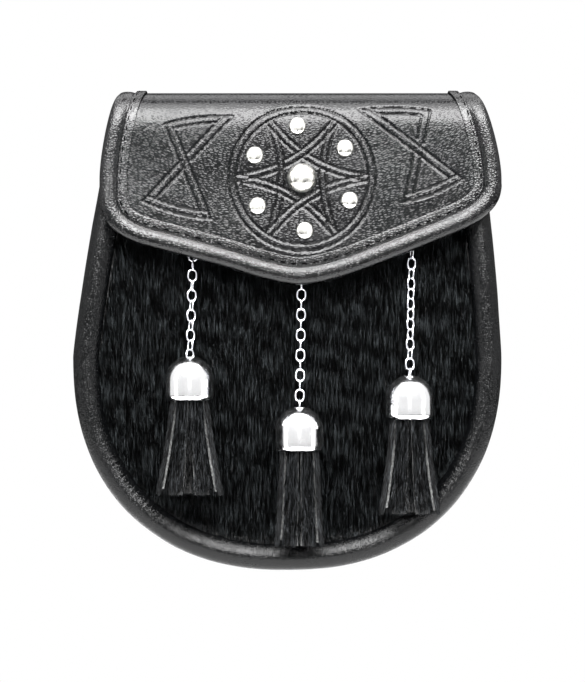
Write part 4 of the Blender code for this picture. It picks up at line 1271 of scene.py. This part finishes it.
strip_hide = edge_material()
tassel_hair = hair_material("Black tassel hair, tone and painted sheen", (0.00003, 0.00003, 0.00004), (0.026, 0.028, 0.030), 0.36)
for hanger in HANGERS:
    mouth_z = hanger.bell_z - BELL_HEIGHT
    head_top = hanger.bell_z - EYE_DEPTH - EYE_RADIUS - EYE_STEM - GAP
    generator = np.random.default_rng(31 + len(hanger.side))
    strips, hairs = [], []
    for index in range(STRIP_COUNT):
        strip_low = mouth_z - STRIP_LENGTH * (1.0 - 0.03 * (index % 3))
        z = np.concatenate([[head_top], np.linspace(head_top - HEAD_HEIGHT, strip_low, STRIP_ROWS)])
        middle, across, outward, half = strip_frame(hanger, index, z)
        sway = STRIP_SWAY * ripple(-z, 24 * MM, 40 + index) * share_of(mouth_z - z, 0.0, 10 * MM)
        middle = middle + across * sway[:, None]
        ring = [
            middle + across * (half * right)[:, None] + outward * (STRIP_LEATHER / 2 * outer)
            for outer, right in ((1.0, 1.0), (1.0, -1.0), (-1.0, -1.0), (-1.0, 1.0))
        ]
        strip = bent_grid(f"tassel_{hanger.side}_strip_{index + 1}", closed_ring(np.stack(ring, axis=1)))
        close_up(strip)
        strips.append(strip)
        hair_z = generator.uniform(strip_low + 2 * MM, mouth_z + 4 * MM, STRIP_HAIRS)
        place, across, outward, half = strip_frame(hanger, index, hair_z)
        spot = generator.uniform(-1.04, 1.04, STRIP_HAIRS)
        face_side = np.where(generator.uniform(0.0, 1.0, STRIP_HAIRS) < 0.8, 1.0, -1.0)
        root = place + across * (half * spot)[:, None] + outward * (STRIP_LEATHER / 2 * face_side)[:, None]
        ahead, _, _, half_ahead = strip_frame(hanger, index, hair_z - TASSEL_HAIR_LENGTH)
        stray = (half_ahead - half) * spot + generator.normal(0.0, TASSEL_HAIR_STRAY, STRIP_HAIRS)
        hairs.append((root, unit(ahead - place + across * stray[:, None]), outward * face_side[:, None]))
    pick(*strips[::-1])
    bpy.ops.object.join()
    tassel = bpy.context.object
    tassel.name = tassel.data.name = f"tassel_{hanger.side}_strips"
    normals = np.array([polygon.normal for polygon in tassel.data.polygons])
    centres = np.array([polygon.center for polygon in tassel.data.polygons])
    from_axis = unit(centres[:, :2] - np.array([hanger.bell_x, bell_axis(hanger.bell_x, hanger.bell_z)]))
    cut = np.abs((normals[:, :2] * from_axis).sum(axis=1)) < 0.6
    cut_edge = tassel.data.attributes.new("cut_edge", "FLOAT", "FACE")
    cut_edge.data.foreach_set("value", cut.astype(np.float32))
    put_on(tassel, strip_hide, "tassel_hide", f"tassel_{hanger.side}", sharp=30.0)
    root, along, out = (np.vstack(part) for part in zip(*hairs))
    count = len(root)
    room = root[:, 2] - (mouth_z - STRIP_LENGTH)
    hair_length = TASSEL_HAIR_LENGTH * generator.uniform(0.6, 1.1, count)
    hair_length = np.minimum(hair_length, np.maximum(room, 2.0 * MM) + 1.0 * MM)
    width = TASSEL_HAIR_WIDTH * generator.uniform(0.6, 1.15, count)
    rise = TASSEL_HAIR_RISE * generator.uniform(0.2, 1.1, count)
    # Each tassel hair's own tone, random and skewed towards dark: partly painted sheen highlight.
    tone = generator.beta(0.7, 2.8, count)
    hair = hair_bodies(f"tassel_{hanger.side}_hair", root, along, out, hair_length, width, rise, tone)
    put_on(hair, tassel_hair, "tassel_hide", sharp=80.0)

# Belt loops
# Two plain leather loops on the back carry the strap. Each is a strap of leather bent out over the
# tunnel and sewn flat at its two feet.

LOOP_LEATHER = 2.0 * MM
LOOP_HALF_WIDTH = 11.0 * MM
LOOP_HALF_HEIGHT = 20.0 * MM
LOOP_FOOT = 5.0 * MM
LOOP_TUNNEL = 7.0 * MM
LOOP_COLUMNS = 21
foot_y = back_y + GAP + LOOP_LEATHER / 2
bulge_y = back_y + LOOP_TUNNEL + LOOP_LEATHER / 2
tunnel_top = LOOP_HALF_HEIGHT - LOOP_FOOT - LOOP_LEATHER
loop_line = [
    (foot_y, LOOP_HALF_HEIGHT),
    (foot_y, LOOP_HALF_HEIGHT - 0.6 * LOOP_FOOT),
    (foot_y + 0.2 * MM, LOOP_HALF_HEIGHT - LOOP_FOOT),
    (bulge_y - 1.6 * MM, tunnel_top + 0.3 * MM),
    (bulge_y, tunnel_top - 1.5 * MM),
    (bulge_y, 0.0),
]
loop_curve = smooth_through(loop_line + [(y, -z) for y, z in loop_line[-2::-1]], 6)
loop_across = np.linspace(-LOOP_HALF_WIDTH, LOOP_HALF_WIDTH, LOOP_COLUMNS)[:, None]
seam_across = np.array([1.5 * MM - LOOP_HALF_WIDTH, LOOP_HALF_WIDTH - 1.5 * MM])
seam_y = foot_y + LOOP_LEATHER / 2
seam_z = LOOP_HALF_HEIGHT - LOOP_FOOT / 2
for side in ("left", "right"):
    node_low, node_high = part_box(f"belt_loop_{side}")
    middle_x = (node_low.x + node_high.x) / 2
    places = np.stack(np.broadcast_arrays(middle_x + loop_across, *loop_curve.T), axis=-1)
    loop = bent_grid(f"belt_loop_{side}_leather", places[:, ::-1])
    apply_modifier(loop, "SOLIDIFY", thickness=LOOP_LEATHER, offset=0.0)
    round_edges(loop, 0.4 * MM)
    put_on(loop, plain_leather, "plain_leather", f"belt_loop_{side}")
    for foot, foot_z in (("top", seam_z), ("low", -seam_z)):
        seam = np.stack(np.broadcast_arrays(middle_x + seam_across, seam_y, foot_z), axis=1)
        stitches = stitch_row(f"belt_loop_{side}_stitches_{foot}", seam, np.tile([0.0, 1.0, 0.0], (2, 1)))
        put_on(stitches, thread, "plain_leather")

# Camera, light and floor
# The pouch hangs in the air before a white studio wall, seen square on from its own height.

CAMERA_PLACE = (-3.8 * MM, -1.847, -72.5 * MM)
CAMERA_LENS = 133.6
FLOOR_Z = -0.30
FLOOR_RADIUS = 0.62
# Brightness of the tent by height, from straight down (0) to straight up (1)
TENT_LEVELS = ((0.0, 0.02), (0.40, 0.04), (0.47, 0.95), (0.60, 0.95), (0.97, 1.30), (1.0, 0.02))
# Each light's place, its width and height, and its power
SOFT_LIGHTS = {
    "Key softbox above": ((0.0, -0.97, 0.79), (1.4, 0.55), 108.0),
    "Top softbox": ((0.0, -0.42, 1.0), (1.4, 0.6), 34.0),
    "Back softbox": ((0.0, 0.5, 0.95), (1.4, 0.6), 7.5),
    "Left softbox": ((-1.3, -0.55, 0.10), (0.25, 0.9), 3.0),
    "Right softbox": ((1.3, -0.55, 0.10), (0.25, 0.9), 3.0),
    "Front window": ((0.0, -2.2, 0.10), (0.7, 0.6), 0.5),
}
middle_of_pouch = Vector((0.0, -0.03, -0.06))
camera = bpy.data.objects.new("Camera", bpy.data.cameras.new("Camera"))
bpy.context.scene.collection.objects.link(camera)
camera.location = CAMERA_PLACE
camera.rotation_euler = (math.pi / 2, 0.0, 0.0)
camera.data.sensor_fit = "VERTICAL"
camera.data.sensor_height = 24.0
camera.data.lens = CAMERA_LENS
camera.data.clip_start = 0.05
camera.data.clip_end = 20.0
bpy.context.scene.camera = camera

for name, (place, size, power) in SOFT_LIGHTS.items():
    light = bpy.data.objects.new(name, bpy.data.lights.new(name, "AREA"))
    light.data.shape = "RECTANGLE"
    light.data.size, light.data.size_y = size
    light.data.energy = power
    light.location = place
    light.rotation_euler = (middle_of_pouch - Vector(place)).to_track_quat("-Z", "Y").to_euler()
    bpy.context.scene.collection.objects.link(light)


def studio_world():
    """White to the camera; to the pouch, a white tent round the front, dark above, below and behind."""
    world = bpy.data.worlds.new("Studio")
    world.use_nodes = True
    tree = world.node_tree
    place = add_node(tree, "TexCoord", {}, "Generated")
    parts = add_node(tree, "SeparateXYZ", {"Vector": place}).node.outputs
    band = add_node(tree, "ValToRGB", {"Fac": maths(tree, "MULTIPLY_ADD", parts["Z"], 0.5, 0.5)})
    elements = band.node.color_ramp.elements
    for _ in TENT_LEVELS[2:]:
        elements.new(0.5)
    for element, (stop, level) in zip(elements, TENT_LEVELS):
        element.position = stop
        element.color = (level, level, level, 1.0)
    tent = maths(tree, "MULTIPLY", band, ranged(tree, parts["Y"], 0.45, 0.85, 1.0, 0.10))
    to_camera = add_node(tree, "LightPath", {}, "Is Camera Ray")
    feed(tree, tree.nodes["Background"].inputs, {"Color": maths(tree, "MAXIMUM", tent, to_camera)})
    bpy.context.scene.world = world


studio_world()
bpy.context.scene.view_settings.view_transform = "Standard"
pick()
bpy.ops.mesh.primitive_circle_add(
    vertices=96, radius=FLOOR_RADIUS, fill_type="NGON", location=(0.0, 0.0, FLOOR_Z)
)
floor = bpy.context.object
floor.name = "floor"
floor_paint, floor_tree, floor_shader, _ = new_material("Pale floor")
feed(floor_tree, floor_shader, {"Base Color": (0.85, 0.85, 0.85, 1.0), "Roughness": 0.8})
paint(floor, floor_paint)
